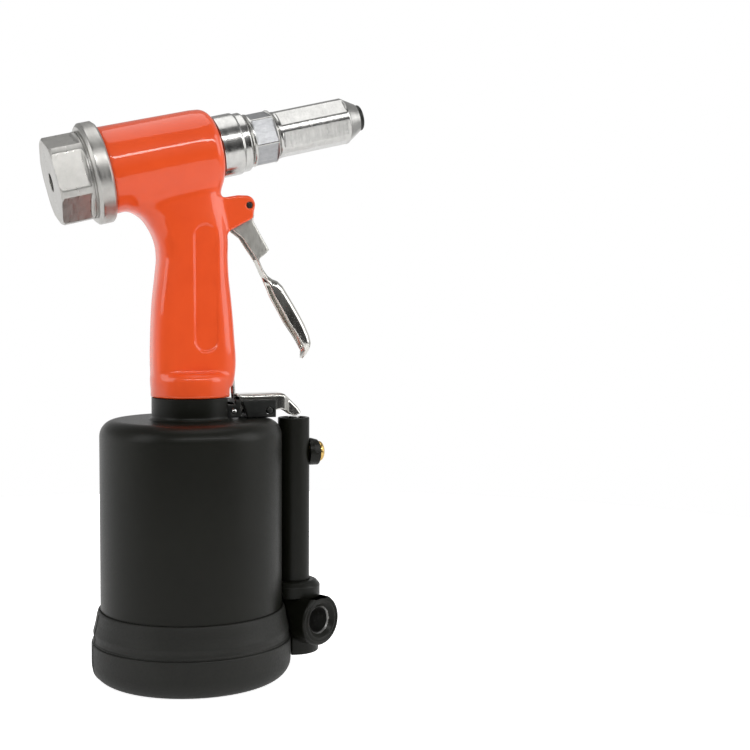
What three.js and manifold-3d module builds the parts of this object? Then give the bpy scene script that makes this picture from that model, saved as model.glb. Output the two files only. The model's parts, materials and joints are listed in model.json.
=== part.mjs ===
// Hand-held hydro-pneumatic rivet gun: air cylinder in the base, pistol grip, tilted pulling head.
// Units are millimetres. The origin is the centre of the foot, +X points to the nose, +Z points up.
import * as THREE from 'three';
import { mergeVertices } from 'three/addons/utils/BufferGeometryUtils.js';
import Module from 'manifold-3d';

const wasm = await Module();
wasm.setup();

// ---- driving dimensions --------------------------------------------------------------------------
const GAP = 0.3; // clearance kept between pieces that touch on the real tool

const CYLINDER = { radius: 44, bore: 41, low: 9.4, top: 126.3, roof: 120.3, shoulder: 8 };
const NECK = { radius: 19.1, bore: 12.6, top: 137, flatHalf: 12 };
const BOOT = { foot: 48.4, top: 34.5, edge: 8.7, floor: 5.2, bore: CYLINDER.radius + 0.35 };
// [radius, z] up the outside of the boot
const BOOT_WALL = [
  [48.4, 18.6],
  [48, 19.7],
  [47.4, 20.4],
  [47.6, 24],
  [46.3, 29],
  [45.7, 32.4],
  [44.9, 34.3],
];
const POCKET = { back: 15, halfWidth: 9.8, low: 136, top: 142 }; // room for the rod clevis
const CLOSURE = {
  radius: 43.9,
  spigot: CYLINDER.bore - 0.4,
  depth: 2.2,
  grooveLow: 10.4,
  grooveTop: 13.2,
  top: 14.8,
};
const BUMPER = { inner: 16, outer: 24, low: 15.1, top: 17.1 };
const AIR_PISTON = { rim: CYLINDER.bore - 0.6, depth: 3, low: 17.4, grooveLow: 20, grooveTop: 25.4, top: 29 };
const ROD_SEAT = {
  bore: 6.3,
  pocket: 13.5,
  z: 25.3,
  washer: 12.5,
  washerTop: 25,
  nutFlats: 19,
  nutTop: 23.6,
  nutLow: 17.9,
};

const HEAD = {
  height: 254.5,
  tilt: 13.75,
  rear: -43,
  front: 12.5,
  radius: 20.4,
  bore: 15.5,
  boreFront: 4,
  mouth: 12,
  round: 6,
};
const GRIP = { halfWidth: 13.2, low: 142, collarLow: NECK.top + GAP, collar: 19.6, squareness: 3.2 };
// shallow recess in each side of the grip
const PANEL = { x: 4.2, low: 165, top: 214.5, round: 5.5, depth: 0.9, lean: 0.4 };
const SPIGOT = { radius: 12.2, low: 124.5 };
const PLUNGER = { radius: 8, bore: 8.35, stud: 6, low: 17.8, top: 131 };
const GLAND = { radius: 17, low: 114, seal: 10.6, sealLow: 126, sealTop: 131 };
const OIL = {
  x: -8,
  z: HEAD.height - 2,
  boss: 6,
  face: 21,
  hole: 2.7,
  washer: 4.6,
  washerLow: 21.3,
  washerTop: 22.1,
};
const OIL_SCREW = { head: 4.2, low: 22.4, top: 25, shank: 2.4, end: 16, socket: 1.7, socketLow: 23.2 };

const PIVOT = { x: 27.2, z: 229.9, pin: 1.6, hole: 1.9, eye: 3.9 }; // trigger pin
const LINK = { x: 15.34, z: 226.5, pin: 1, hole: 1.3, eye: 2.8 }; // pin between trigger and pull rod
// half widths and heights
const TRIGGER = { sheet: 1.3, upper: 4.2, pad: 5.4, padTop: 193, tip: 3.4, tipTop: 158.5 };
const ROD = {
  radius: 1.1,
  lowX: 21.2,
  lowZ: 135.7,
  lean: 0.0645,
  eyeZ: 222.5,
  eye: 3,
  hole: 1.7,
  halfEye: 1.8,
};
const SLOT = { back: 11.5, halfWidth: 4.7, low: 211, top: 236, reliefBack: 15.2, reliefLow: 203 };
const LUG = { halfWidth: 8.5 };

const ROCKER = { x: 37.3, z: 129.9, halfWidth: 5.8, nose: 3.6, noseX: 48, sheet: 1.4, pin: 1.6, hole: 1.9 };
const CLEVIS = { x: 19, z: 130, inner: 6.3, outer: 9.2, pin: 1.3, hole: 1.6, slotHalf: 1.65 };
const BRACKET = { inner: 6.3, outer: 8.4, low: 126.6, top: 135.2, bridge: 1.8 };

const VALVE = { x: 52.3, radius: 7.9, bore: 6, low: 38, top: 125.6 };
const FLANGE = { radius: 13.4, low: 36, top: 44 };
const INLET = {
  radius: 12.6,
  low: 7.9,
  neckLow: 30.2,
  neck: 10.6,
  boss: 12.5,
  reach: 20,
  z: 25.8,
  bearing: -64,
  bore: 6.3,
  mouth: 8.7,
  riser: 3.5,
};
const FILTER = { rear: 2, front: 3.6 };
const EXHAUST = { z: 108, radius: 6.8, bore: 4.2, front: 64.8, port: 3 };
const SILENCER = { rear: 61.4, rim: 5.1, domeRear: 66.4, domeFront: 67.9 };
const STEM = { radius: 1.8, low: 78, lands: [84, 98], head: 3, headLow: 123.2, top: 126.1 };
// one land of the valve spool
const LAND = { radius: 5.4, groove: 4.2, ringLow: 1.9, ringTop: 4.5, length: 6 };
const BUSH = { bore: 2.1, low: 112, top: 119.5 };
const SEAT = { bore: 2.6, low: 58, top: 63 };

const CAP = {
  flats: 37.4,
  corner: 20.7,
  face: -68,
  ringRear: -51.5,
  ringRadius: 24,
  bore: 4.4,
  turn: -8,
  spigot: 8,
};
const CAP_GROOVE = { radius: 19.9, rear: -52.9, front: -52.3 };
const SLEEVE = {
  radius: 15,
  front: 27.6,
  step: 4.8,
  rear: 5.3,
  spigot: 11.7,
  bore: 6.8,
  seal: 9,
  sealRear: 7.7,
  sealFront: 12.3,
};
const NUT = { rear: 28.4, front: 42.2, corner: 13, bore: 11, turn: 47, chamfer: 1.1 };
const CASING = {
  rear: 42.6,
  radius: 11.5,
  flats: 21.6,
  flatRear: 44.6,
  flatFront: 79.8,
  coneRear: 81,
  front: 87.5,
  turn: 20,
};
const CASING_BORE = { thread: 10.7, rear: 20.3, radius: 8.45, front: 73, mouth: 4.6, tip: 6.8 };
const TIP = { radius: 6.35, front: 89.6, spigot: 4.3, spigotRear: 78, nose: 3.2, noseRear: 69.4, bore: 1.75 };
const PISTON = {
  rear: -4.5,
  front: 3.5,
  groove: 12.8,
  grooveRear: -2.4,
  grooveFront: 1.4,
  rod: 6.5,
  rodFront: 35,
  bore: 2.9,
};
const JAW_CASE = { rear: 38, front: 72, radius: 8.1, stud: 4.3, studFront: 44 };
const JAW = {
  slope: 0.1923,
  seat: 58,
  seatRadius: 6.6,
  count: 3,
  split: 0.6,
  gap: 0.45,
  rear: 59.6,
  front: 69,
  bore: 1.75,
};

const FINE = 32; // facets round a large turned piece
const COARSE = 16; // facets round a small one

// ---- materials -----------------------------------------------------------------------------------
function finish(color, roughness, metalness) {
  return new THREE.MeshStandardMaterial({ color, roughness, metalness });
}
const ORANGE = finish(0xe4502a, 0.35, 0);
const BLACK_PAINT = finish(0x282926, 0.45, 0.1);
const RUBBER = finish(0x23231f, 0.8, 0);
const CHROME = finish(0xd8d6cf, 0.15, 1);
const MILLED = finish(0x9c9a92, 0.4, 1);
const BLACK_OXIDE = finish(0x1c1c1a, 0.5, 0.8);
const STEEL = finish(0x8b8c88, 0.35, 1);
const ALUMINIUM = finish(0xb9bab8, 0.4, 1);
const BRASS = finish(0xc09a4a, 0.35, 1);
const COPPER = finish(0xb0693f, 0.4, 1);
const SEAL = finish(0x151515, 0.7, 0);

// ---- closed bodies from three.js shapes ----------------------------------------------------------
function volumeOf(position, index) {
  const a = new THREE.Vector3();
  const b = new THREE.Vector3();
  const c = new THREE.Vector3();
  let volume = 0;
  for (let i = 0; i < index.length; i += 3) {
    a.fromBufferAttribute(position, index[i]);
    b.fromBufferAttribute(position, index[i + 1]);
    c.fromBufferAttribute(position, index[i + 2]);
    volume += a.dot(b.cross(c)) / 6;
  }
  return volume;
}

// A manifold solid from any closed three.js geometry, turned so that its faces point out.
function solid(geometry) {
  const bare = geometry.clone();
  for (const name of Object.keys(bare.attributes)) {
    if (name !== 'position') bare.deleteAttribute(name);
  }
  const welded = mergeVertices(bare, 1e-4);
  const index = [];
  for (let i = 0; i < welded.index.count; i += 3) {
    const tri = [0, 1, 2].map((k) => welded.index.getX(i + k));
    if (new Set(tri).size === 3) index.push(...tri);
  }
  const position = welded.getAttribute('position');
  if (volumeOf(position, index) < 0) index.reverse();
  const vertProperties = new Float32Array(position.array);
  const triVerts = new Uint32Array(index);
  return new wasm.Manifold(new wasm.Mesh({ numProp: 3, vertProperties, triVerts }));
}

function surface(body) {
  const mesh = body.getMesh();
  const geometry = new THREE.BufferGeometry();
  geometry.setAttribute('position', new THREE.BufferAttribute(new Float32Array(mesh.vertProperties), 3));
  geometry.setIndex(new THREE.BufferAttribute(new Uint32Array(mesh.triVerts), 1));
  geometry.computeVertexNormals();
  return geometry;
}

function join(first, ...others) {
  return others.reduce((sum, other) => sum.add(other), first);
}

function cut(first, ...others) {
  return others.reduce((rest, other) => rest.subtract(other), first);
}

// Turned body about +Z from [radius, z] points.
function turnedZ(profile, segments = FINE, x = 0, y = 0) {
  const points = profile.map(([r, z]) => new THREE.Vector2(r, z));
  return solid(new THREE.LatheGeometry(points, segments).rotateX(Math.PI / 2).translate(x, y, 0));
}

// Turned body about the head's own axis, +X here, from [station, radius] points.
function turnedX(profile, segments = COARSE) {
  const points = profile.map(([s, r]) => new THREE.Vector2(r, s));
  return solid(new THREE.LatheGeometry(points, segments).rotateZ(-Math.PI / 2));
}

function ringZ(inner, outer, low, top, segments = COARSE, x = 0) {
  return turnedZ([[inner, low], [outer, low], [outer, top], [inner, top], [inner, low]], segments, x);
}

function discZ(radius, low, top, segments = COARSE, x = 0) {
  return turnedZ([[0, low], [radius, low], [radius, top], [0, top]], segments, x);
}

function ringX(inner, outer, rear, front, segments = COARSE) {
  return turnedX([[rear, inner], [rear, outer], [front, outer], [front, inner], [rear, inner]], segments);
}

function discX(radius, rear, front, segments = COARSE) {
  return turnedX([[rear, 0], [rear, radius], [front, radius], [front, 0]], segments);
}

function box(x0, x1, y0, y1, z0, z1) {
  const geometry = new THREE.BoxGeometry(x1 - x0, y1 - y0, z1 - z0);
  return solid(geometry.translate((x0 + x1) / 2, (y0 + y1) / 2, (z0 + z1) / 2));
}

// Plate with an [x, z] outline, from y = near to y = far.
function plate(outline, near, far) {
  const shape = new THREE.Shape(outline.map(([x, z]) => new THREE.Vector2(x, z)));
  const depth = far - near;
  const geometry = new THREE.ExtrudeGeometry(shape, { depth, bevelEnabled: false, curveSegments: 4 });
  return solid(geometry.rotateX(Math.PI / 2).translate(0, far, 0));
}

function symmetricPlate(outline, halfWidth) {
  return plate(outline, -halfWidth, halfWidth);
}

// Round bar across the tool, along Y.
function crossBar(x, z, radius, near, far, segments = 16) {
  const geometry = new THREE.CylinderGeometry(radius, radius, far - near, segments);
  return solid(geometry.translate(x, (near + far) / 2, z));
}

function crossPin(x, z, radius, halfLength) {
  return crossBar(x, z, radius, -halfLength, halfLength);
}

// Hexagonal prism along +X with the given corner radius; turn is the angle of its first corner.
function hexX(corner, rear, front, turn = 0) {
  const geometry = new THREE.CylinderGeometry(corner, corner, front - rear, 6);
  return solid(geometry.rotateZ(-Math.PI / 2).rotateX(turn).translate((rear + front) / 2, 0, 0));
}

// Smooth body through stacked rings of points.
function loft(rings) {
  const count = rings[0].length;
  const position = rings.flat().flatMap((p) => [p.x, p.y, p.z]);
  const middle = (ring) => ring.reduce((sum, p) => sum.add(p), new THREE.Vector3()).divideScalar(count);
  position.push(...middle(rings[0]).toArray(), ...middle(rings[rings.length - 1]).toArray());
  const index = [];
  const top = rings.length - 1;
  for (let i = 0; i < count; i += 1) {
    const j = (i + 1) % count;
    for (let k = 0; k < top; k += 1) {
      const [a, b] = [k * count + i, k * count + j];
      index.push(a, b, b + count, a, b + count, a + count);
    }
    index.push(rings.length * count, j, i);
    index.push(rings.length * count + 1, top * count + i, top * count + j);
  }
  const geometry = new THREE.BufferGeometry();
  geometry.setAttribute('position', new THREE.BufferAttribute(new Float32Array(position), 3));
  geometry.setIndex(index);
  return solid(geometry);
}

class Helix extends THREE.Curve {
  constructor(radius, low, top, turns) {
    super();
    Object.assign(this, { radius, low, top, turns });
  }

  getPoint(t, target = new THREE.Vector3()) {
    const angle = 2 * Math.PI * this.turns * t;
    const z = this.low + (this.top - this.low) * t;
    return target.set(this.radius * Math.cos(angle), this.radius * Math.sin(angle), z);
  }
}

// Coil spring along +Z, from low to top over the wire's outside.
function spring(radius, wire, low, top, turns) {
  const sides = 5;
  const ring = [];
  for (let i = 0; i < sides; i += 1) {
    const angle = (2 * Math.PI * i) / sides;
    ring.push(new THREE.Vector2(wire * Math.cos(angle), wire * Math.sin(angle)));
  }
  const path = new Helix(radius, low + wire, top - wire, turns);
  const sweep = { steps: turns * 9, extrudePath: path, bevelEnabled: false };
  return new THREE.ExtrudeGeometry(new THREE.Shape(ring), sweep);
}

// ---- scene graph ---------------------------------------------------------------------------------
const gun = new THREE.Group();
const head = new THREE.Group(); // its own +X is the pulling axis, station 0 lies above the foot's centre
head.position.set(0, 0, HEAD.height);
head.rotation.y = THREE.MathUtils.degToRad(-HEAD.tilt);
gun.add(head);

function add(group, name, body, material) {
  const mesh = new THREE.Mesh(body.isBufferGeometry ? body : surface(body), material);
  mesh.name = name;
  group.add(mesh);
}

// A solid written in the head's own frame, moved to the tool's frame.
function fromHead(body) {
  head.updateMatrixWorld(true);
  return solid(surface(body).applyMatrix4(head.matrixWorld));
}

// Points of a quarter round from angle a to angle b, in degrees.
function arc(cx, cy, radius, a, b, steps = 5) {
  const points = [];
  for (let i = 0; i <= steps; i += 1) {
    const angle = THREE.MathUtils.degToRad(a + ((b - a) * i) / steps);
    points.push([cx + radius * Math.cos(angle), cy + radius * Math.sin(angle)]);
  }
  return points;
}

// ---- base: air cylinder, closure and boot --------------------------------------------------------
function airCylinder() {
  const { radius, bore, low, top, roof, shoulder } = CYLINDER;
  const cup = turnedZ([
    [bore, low],
    [radius, low],
    ...arc(radius - shoulder, top - shoulder, shoulder, 0, 90),
    [NECK.radius + 1.2, top],
    [NECK.radius, top + 1.2],
    [NECK.radius, NECK.top],
    [NECK.bore, NECK.top],
    [NECK.bore, roof],
    [bore - 4, roof],
    [bore, roof - 4],
    [bore, low],
  ]);
  const flat = box(POCKET.back, 30, -NECK.flatHalf, NECK.flatHalf, top + 0.05, NECK.top + 1);
  return cut(cup, flat);
}

function bootProfile(grow = 0) {
  const { foot, top, edge, bore } = BOOT;
  return [
    [foot - edge, -grow],
    ...arc(foot - edge, edge, edge + grow, -72, 0, 4),
    ...BOOT_WALL.map(([r, z]) => [r + grow, z]),
    [bore, top + grow],
  ];
}

function rubberBoot() {
  return turnedZ([
    [0, 0],
    ...bootProfile(),
    [BOOT.bore, BOOT.floor],
    [0, BOOT.floor],
  ]);
}

function addBase() {
  add(gun, 'air_cylinder', airCylinder(), BLACK_PAINT);
  add(gun, 'rubber_boot', rubberBoot(), RUBBER);
  const { radius, spigot, depth, grooveLow, grooveTop, top } = CLOSURE;
  const groove = spigot - depth;
  const closure = turnedZ([
    [0, BOOT.floor + GAP],
    [radius, BOOT.floor + GAP],
    [radius, CYLINDER.low - GAP],
    [spigot, CYLINDER.low - GAP],
    [spigot, grooveLow],
    [groove, grooveLow],
    [groove, grooveTop],
    [spigot, grooveTop],
    [spigot, top],
    [0, top],
  ], COARSE);
  add(gun, 'base_closure', closure, ALUMINIUM);
  add(gun, 'base_o_ring', ringZ(groove + GAP, CYLINDER.bore - GAP, grooveLow + GAP, grooveTop - GAP), SEAL);
  add(gun, 'bottom_bumper', ringZ(BUMPER.inner, BUMPER.outer, BUMPER.low, BUMPER.top), SEAL);
}

// ---- intensifier: air piston and plunger ---------------------------------------------------------
function hexZ(flats, low, top, bore) {
  const geometry = new THREE.CylinderGeometry(flats / Math.sqrt(3), flats / Math.sqrt(3), top - low, 6);
  const blank = solid(geometry.rotateX(Math.PI / 2).translate(0, 0, (low + top) / 2));
  return cut(blank, discZ(bore, low - 1, top + 1));
}

function addIntensifier() {
  const { rim, depth, low, grooveLow, grooveTop, top } = AIR_PISTON;
  const { bore, pocket, z, washer, washerTop, nutFlats, nutTop, nutLow } = ROD_SEAT;
  const groove = rim - depth;
  const piston = turnedZ([
    [bore, z],
    [pocket, z],
    [pocket, low],
    [rim, low],
    [rim, grooveLow],
    [groove, grooveLow],
    [groove, grooveTop],
    [rim, grooveTop],
    [rim, top],
    [bore, top],
    [bore, z],
  ], COARSE);
  add(gun, 'air_piston', piston, ALUMINIUM);
  const seal = ringZ(groove + GAP, CYLINDER.bore - GAP, grooveLow + GAP, grooveTop - GAP);
  add(gun, 'air_piston_seal', seal, SEAL);
  const plunger = turnedZ([
    [0, PLUNGER.low],
    [PLUNGER.stud, PLUNGER.low],
    [PLUNGER.stud, top + GAP],
    [PLUNGER.radius, top + GAP],
    [PLUNGER.radius, PLUNGER.top - 1],
    [PLUNGER.radius - 1, PLUNGER.top],
    [0, PLUNGER.top],
  ], COARSE);
  add(gun, 'plunger_rod', plunger, CHROME);
  add(gun, 'plunger_washer', ringZ(bore, washer, nutTop + GAP, washerTop), STEEL);
  add(gun, 'plunger_nut', hexZ(nutFlats, nutLow, nutTop, bore), STEEL);
  const gland = turnedZ([
    [PLUNGER.bore, GLAND.low],
    [GLAND.radius, GLAND.low],
    [GLAND.radius, CYLINDER.roof - GAP],
    [SPIGOT.radius, CYLINDER.roof - GAP],
    [SPIGOT.radius, SPIGOT.low - GAP],
    [PLUNGER.bore, SPIGOT.low - GAP],
    [PLUNGER.bore, GLAND.low],
  ], COARSE);
  add(gun, 'packing_gland', gland, STEEL);
  add(gun, 'plunger_seal', ringZ(PLUNGER.bore, GLAND.seal, GLAND.sealLow, GLAND.sealTop), SEAL);
}

// ---- handle casting ------------------------------------------------------------------------------
// Back and front faces of the grip at each height: [z, back x, front x].
const GRIP_SECTIONS = [
  [GRIP.low, -19, 19.6],
  [150, -19.4, 21.1],
  [168, -19.3, 20.4],
  [184, -18.4, 19],
  [196, -17, 17.8],
  [205, -16.3, 17.4],
  [212, -17.4, 17.4],
  [218, -20, 16.9],
  [222.5, -23.4, 16.2],
  [226.5, -29, 15.4],
  [231, -34, 14.8],
  [240, -34, 13],
];

function gripRing([z, back, front]) {
  const points = [];
  const count = 24;
  const power = 2 / GRIP.squareness;
  for (let i = 0; i < count; i += 1) {
    const angle = (2 * Math.PI * i) / count;
    const [c, s] = [Math.cos(angle), Math.sin(angle)];
    const x = (front + back) / 2 + ((front - back) / 2) * Math.sign(c) * Math.abs(c) ** power;
    const y = GRIP.halfWidth * Math.sign(s) * Math.abs(s) ** power;
    points.push(new THREE.Vector3(x, y, z));
  }
  return points;
}

function headBarrel() {
  const { rear, front, radius, round } = HEAD;
  return turnedX([
    [rear, 0],
    [rear, radius - 0.6],
    [rear + 0.8, radius + 0.2],
    [front - round - 3, radius - 0.5],
    ...arc(front - round, radius - round - 0.8, round, 82, 12, 4),
    [front, 13],
    [front, 0],
  ], FINE);
}

function lugOutline() {
  const nose = arc(PIVOT.x - 1.5, PIVOT.z + 0.3, 4.4, 95, -15, 5);
  return [[10, 233.4], [14, 233.2], [21.5, 234.6], ...nose, [28.9, 223.6], [16, 216.6], [10, 216.6]];
}

function rodX(z) {
  return ROD.lowX - (z - ROD.lowZ) * ROD.lean;
}

function sidePanel(side) {
  const { x, low, top, round, depth, lean } = PANEL;
  const outline = [...arc(x, top, round, 0, 180, 6), ...arc(x + lean, low, round, 180, 360, 6)];
  const [near, far] = [GRIP.halfWidth - depth, GRIP.halfWidth + 3];
  return side > 0 ? plate(outline, near, far) : plate(outline, -far, -near);
}

// Slot for the trigger, the pull rod's groove below it, and the pocket for the clevis.
function linkageRoom() {
  const { back, halfWidth, low, top, reliefBack, reliefLow } = SLOT;
  const front = 40;
  const slot = box(back, front, -halfWidth, halfWidth, low, top);
  const relief = box(reliefBack, front, -halfWidth, halfWidth, reliefLow, low + 1);
  const clear = ROD.radius + 0.6;
  const [foot, crown] = [POCKET.low, low + 1];
  const groove = [[rodX(foot) - clear, foot], [rodX(crown) - clear, crown], [front, crown], [front, foot]];
  const pocket = box(POCKET.back, front, -POCKET.halfWidth, POCKET.halfWidth, POCKET.low, POCKET.top);
  return join(slot, relief, symmetricPlate(groove, ROD.radius + 0.5), pocket);
}

function handleCasting() {
  const collar = turnedZ([
    [0, GRIP.collarLow],
    [GRIP.collar, GRIP.collarLow],
    ...arc(GRIP.collar - 6, 143.2, 6, 0, 80, 4),
    [0, 149.4],
  ]);
  const spigot = discZ(SPIGOT.radius, SPIGOT.low, GRIP.collarLow + 1);
  const boss = crossBar(OIL.x, OIL.z, OIL.boss, 10, OIL.face);
  const lugs = symmetricPlate(lugOutline(), LUG.halfWidth);
  const body = join(loft(GRIP_SECTIONS.map(gripRing)), collar, spigot, fromHead(headBarrel()), lugs, boss);
  const ram = discX(HEAD.bore, HEAD.rear - 2, HEAD.boreFront, FINE);
  const headBore = fromHead(join(ram, discX(HEAD.mouth, HEAD.boreFront - 1, HEAD.front + 2)));
  const plungerBore = discZ(PLUNGER.bore, SPIGOT.low - 1, HEAD.height - 10);
  const sealGroove = discZ(GLAND.seal + GAP, GLAND.sealLow - GAP, GLAND.sealTop + GAP);
  const pinHole = crossPin(PIVOT.x, PIVOT.z, PIVOT.hole, 20);
  const fillHole = crossBar(OIL.x, OIL.z, OIL.hole, 8, 30);
  const bores = join(headBore, plungerBore, sealGroove, pinHole, fillHole);
  return cut(body, bores, linkageRoom(), sidePanel(1), sidePanel(-1));
}

function addHandle() {
  add(gun, 'handle_casting', handleCasting(), ORANGE);
  const { head, low, top, shank, end, socket, socketLow } = OIL_SCREW;
  const screw = join(crossBar(OIL.x, OIL.z, head, low, top), crossBar(OIL.x, OIL.z, shank, end, low + 0.1));
  add(gun, 'oil_fill_screw', cut(screw, crossBar(OIL.x, OIL.z, socket, socketLow, top + 1, 6)), STEEL);
  const { x, z, hole, washer, washerLow, washerTop } = OIL;
  const through = crossBar(x, z, hole, washerLow - 1, washerTop + 1);
  const sealing = cut(crossBar(x, z, washer, washerLow, washerTop), through);
  add(gun, 'oil_fill_washer', sealing, COPPER);
}

// ---- trigger linkage -----------------------------------------------------------------------------
// Points of an open [x, z] line moved to its right-hand side.
function inset(points, distance) {
  return points.map(([x, z], i) => {
    const [ax, az] = points[Math.max(i - 1, 0)];
    const [bx, bz] = points[Math.min(i + 1, points.length - 1)];
    const length = Math.hypot(bx - ax, bz - az);
    return [x + (distance * (bz - az)) / length, z - (distance * (bx - ax)) / length];
  });
}

// Pressed channel, open at the back: two cheeks and a web above, a thin waist, and the finger pad below.
function triggerLever() {
  const { sheet, upper, pad, padTop, tip, tipTop } = TRIGGER;
  const brow = [[30.6, 222.4], [38.6, 208.6], [37.4, 207.4]];
  const cheek = [
    ...arc(PIVOT.x, PIVOT.z, PIVOT.eye, 105, -20, 5),
    ...brow,
    [33.6, 204.4],
    [33.2, 201.9],
    [31.1, 205.2],
    [27.8, 209.9],
    [25, 214.1],
    [20.6, 217.2],
    ...arc(LINK.x, LINK.z, LINK.eye, 270, 130, 4),
  ];
  const cheeks = join(plate(cheek, -upper, sheet - upper), plate(cheek, upper - sheet, upper));
  const web = symmetricPlate([...brow, ...inset(brow.slice(0, 2), sheet).reverse()], upper);
  const front = [
    [33.6, 204.4],
    [36.1, 198.9],
    [38.2, 196],
    [40.5, 194.5],
    [43.3, 193.4],
    [45.8, 190.9],
    [51.5, 181.6],
    [57, 172.2],
    [59.6, 166.6],
    [60.5, 162.8],
    [59.8, 159.4],
    [58, 156.2],
    [56.9, 154.6],
  ];
  const rear = [
    [55.8, 155.2],
    [56.6, 158.4],
    [55, 162.7],
    [52.6, 166.6],
    [48.4, 172.6],
    [44.4, 179.7],
    [40.4, 186.6],
    [38.6, 190.8],
    [36.8, 194.4],
    [34.9, 198.2],
    [33.2, 201.9],
  ];
  const hollow = symmetricPlate([...inset(front, sheet), [45, 145], [20, 160], [20, 203.9]], pad - sheet);
  const narrow = symmetricPlate([[20, padTop], [70, padTop], [70, 210], [20, 210]], upper);
  const wide = symmetricPlate([[20, tipTop], [70, tipTop], [70, padTop + 0.5], [20, padTop + 0.5]], pad);
  const point = symmetricPlate([[20, 150], [70, 150], [70, tipTop + 0.5], [20, tipTop + 0.5]], tip);
  const lever = symmetricPlate([...front, ...rear], pad).intersect(join(narrow, wide, point));
  const holes = join(crossPin(PIVOT.x, PIVOT.z, PIVOT.hole, 9), crossPin(LINK.x, LINK.z, LINK.hole, 9));
  return cut(join(cheeks, web, cut(lever, hollow)), holes);
}

// Round wire rod that leans back as it rises, with a flat eye at its top.
function pullRod() {
  const topZ = ROD.eyeZ + 1;
  const angle = Math.atan(ROD.lean);
  const length = (topZ - ROD.lowZ) / Math.cos(angle);
  const wire = new THREE.CylinderGeometry(ROD.radius, ROD.radius, length, 12).rotateX(Math.PI / 2);
  wire.translate(0, 0, length / 2).rotateY(-angle).translate(ROD.lowX, 0, ROD.lowZ);
  const eye = symmetricPlate([...arc(LINK.x, LINK.z, ROD.eye, -60, 240, 12)], ROD.halfEye);
  const [back, front, low] = [LINK.x - 1.4, LINK.x + 2, LINK.z - 5];
  const shank = symmetricPlate([[back, low], [front, low], [front, LINK.z], [back, LINK.z]], 1.6);
  return cut(join(solid(wire), eye, shank), crossPin(LINK.x, LINK.z, ROD.hole, 4));
}

function rodClevis() {
  const [back, step, front] = [15.7, 19.8, 22.5];
  const [low, ledge, bridge, top] = [127, 133.4, 133.6, 135.4];
  const cheek = [[back, low], [front, low], [front, top], [step, top], [step, ledge], [back, ledge]];
  const { inner, outer } = CLEVIS;
  const cheeks = join(plate(cheek, -outer, -inner), plate(cheek, inner, outer));
  const body = join(cheeks, box(step, front, -outer, outer, bridge, top));
  return cut(body, crossPin(CLEVIS.x, CLEVIS.z, CLEVIS.hole, 12));
}

// Pressed channel, open below, with a fork at the rod's end and a bent nose over the valve.
function rockerLever() {
  const { x, z, halfWidth, nose, noseX, sheet, hole } = ROCKER;
  const tongue = [[21.6, 136.7], [21.6, 138.1]];
  const top = [
    [44.4, 138.2],
    [46.6, 137.5],
    [48.8, 135.9],
    [51.6, 132.9],
    [53.8, 130.8],
    [55.3, 128.7],
    [54.8, 127.8],
  ];
  const belly = [
    [52.2, 126.7],
    [49.8, 127.4],
    [47.4, 129.2],
    [45.4, 130.1],
    [43.4, 130.5],
    [41.4, 129.8],
    [39, 128],
  ];
  const foot = [[37.3, 127.4], [35.6, 128], [33, 130.4], [25, 130.8]];
  const fork = [[22, 127.4], [16.8, 127.4], [16.8, 132.6], [20, 132.6], [22.9, 133.1], [22.9, 136.7]];
  const body = symmetricPlate([...tongue, ...top, ...belly, ...foot, ...fork], halfWidth);
  const roof = inset([[14, 138.1], ...top.slice(0, 3)], sheet);
  const hollow = symmetricPlate([...roof, [noseX, 120], [14, 120]], halfWidth - sheet);
  const mouth = inset(top.slice(1, 6), sheet);
  const noseHollow = symmetricPlate([...mouth, [52, 120], [46, 120]], nose - sheet);
  const sides = [-1, 1].map((side) => {
    const [near, far] = [nose * side, 10 * side].sort((a, b) => a - b);
    return box(noseX, 60, near, far, 120, 140);
  });
  const forkSlot = box(14, CLEVIS.x + 2.4, -10, 10, CLEVIS.z - CLEVIS.slotHalf, CLEVIS.z + CLEVIS.slotHalf);
  const notch = box(20, 23, -2, 2, 136, 140);
  return cut(body, hollow, noseHollow, ...sides, forkSlot, notch, crossPin(x, z, hole, 12));
}

function rockerBracket() {
  const { inner, outer, low, top, bridge } = BRACKET;
  const cheek = [[26.2, low], [40.6, low], [40.6, top], [23.2, top]];
  const floor = box(26.6, 31, -inner - 0.5, inner + 0.5, low, low + bridge);
  const body = join(plate(cheek, -outer, -inner), plate(cheek, inner, outer), floor);
  return cut(body, crossPin(ROCKER.x, ROCKER.z, ROCKER.hole, 12));
}

function addTrigger() {
  add(gun, 'trigger_lever', triggerLever(), CHROME);
  add(gun, 'trigger_pivot_pin', crossPin(PIVOT.x, PIVOT.z, PIVOT.pin, LUG.halfWidth + 0.2), BLACK_OXIDE);
  add(gun, 'trigger_link_pin', crossPin(LINK.x, LINK.z, LINK.pin, TRIGGER.upper - 0.1), STEEL);
  add(gun, 'pull_rod', pullRod(), STEEL);
  add(gun, 'rod_clevis', rodClevis(), BLACK_OXIDE);
  add(gun, 'clevis_pin', crossPin(CLEVIS.x, CLEVIS.z, CLEVIS.pin, CLEVIS.outer + 0.4), CHROME);
  add(gun, 'rocker_lever', rockerLever(), CHROME);
  add(gun, 'rocker_bracket', rockerBracket(), BLACK_OXIDE);
  add(gun, 'rocker_pivot_pin', crossPin(ROCKER.x, ROCKER.z, ROCKER.pin, BRACKET.outer + 0.5), BLACK_OXIDE);
}

// ---- air valve, inlet and exhaust ----------------------------------------------------------------
function alongX(radius, rear, front, z, segments = COARSE) {
  const geometry = new THREE.CylinderGeometry(radius, radius, front - rear, segments).rotateZ(-Math.PI / 2);
  return solid(geometry.translate((rear + front) / 2, 0, z));
}

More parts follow.
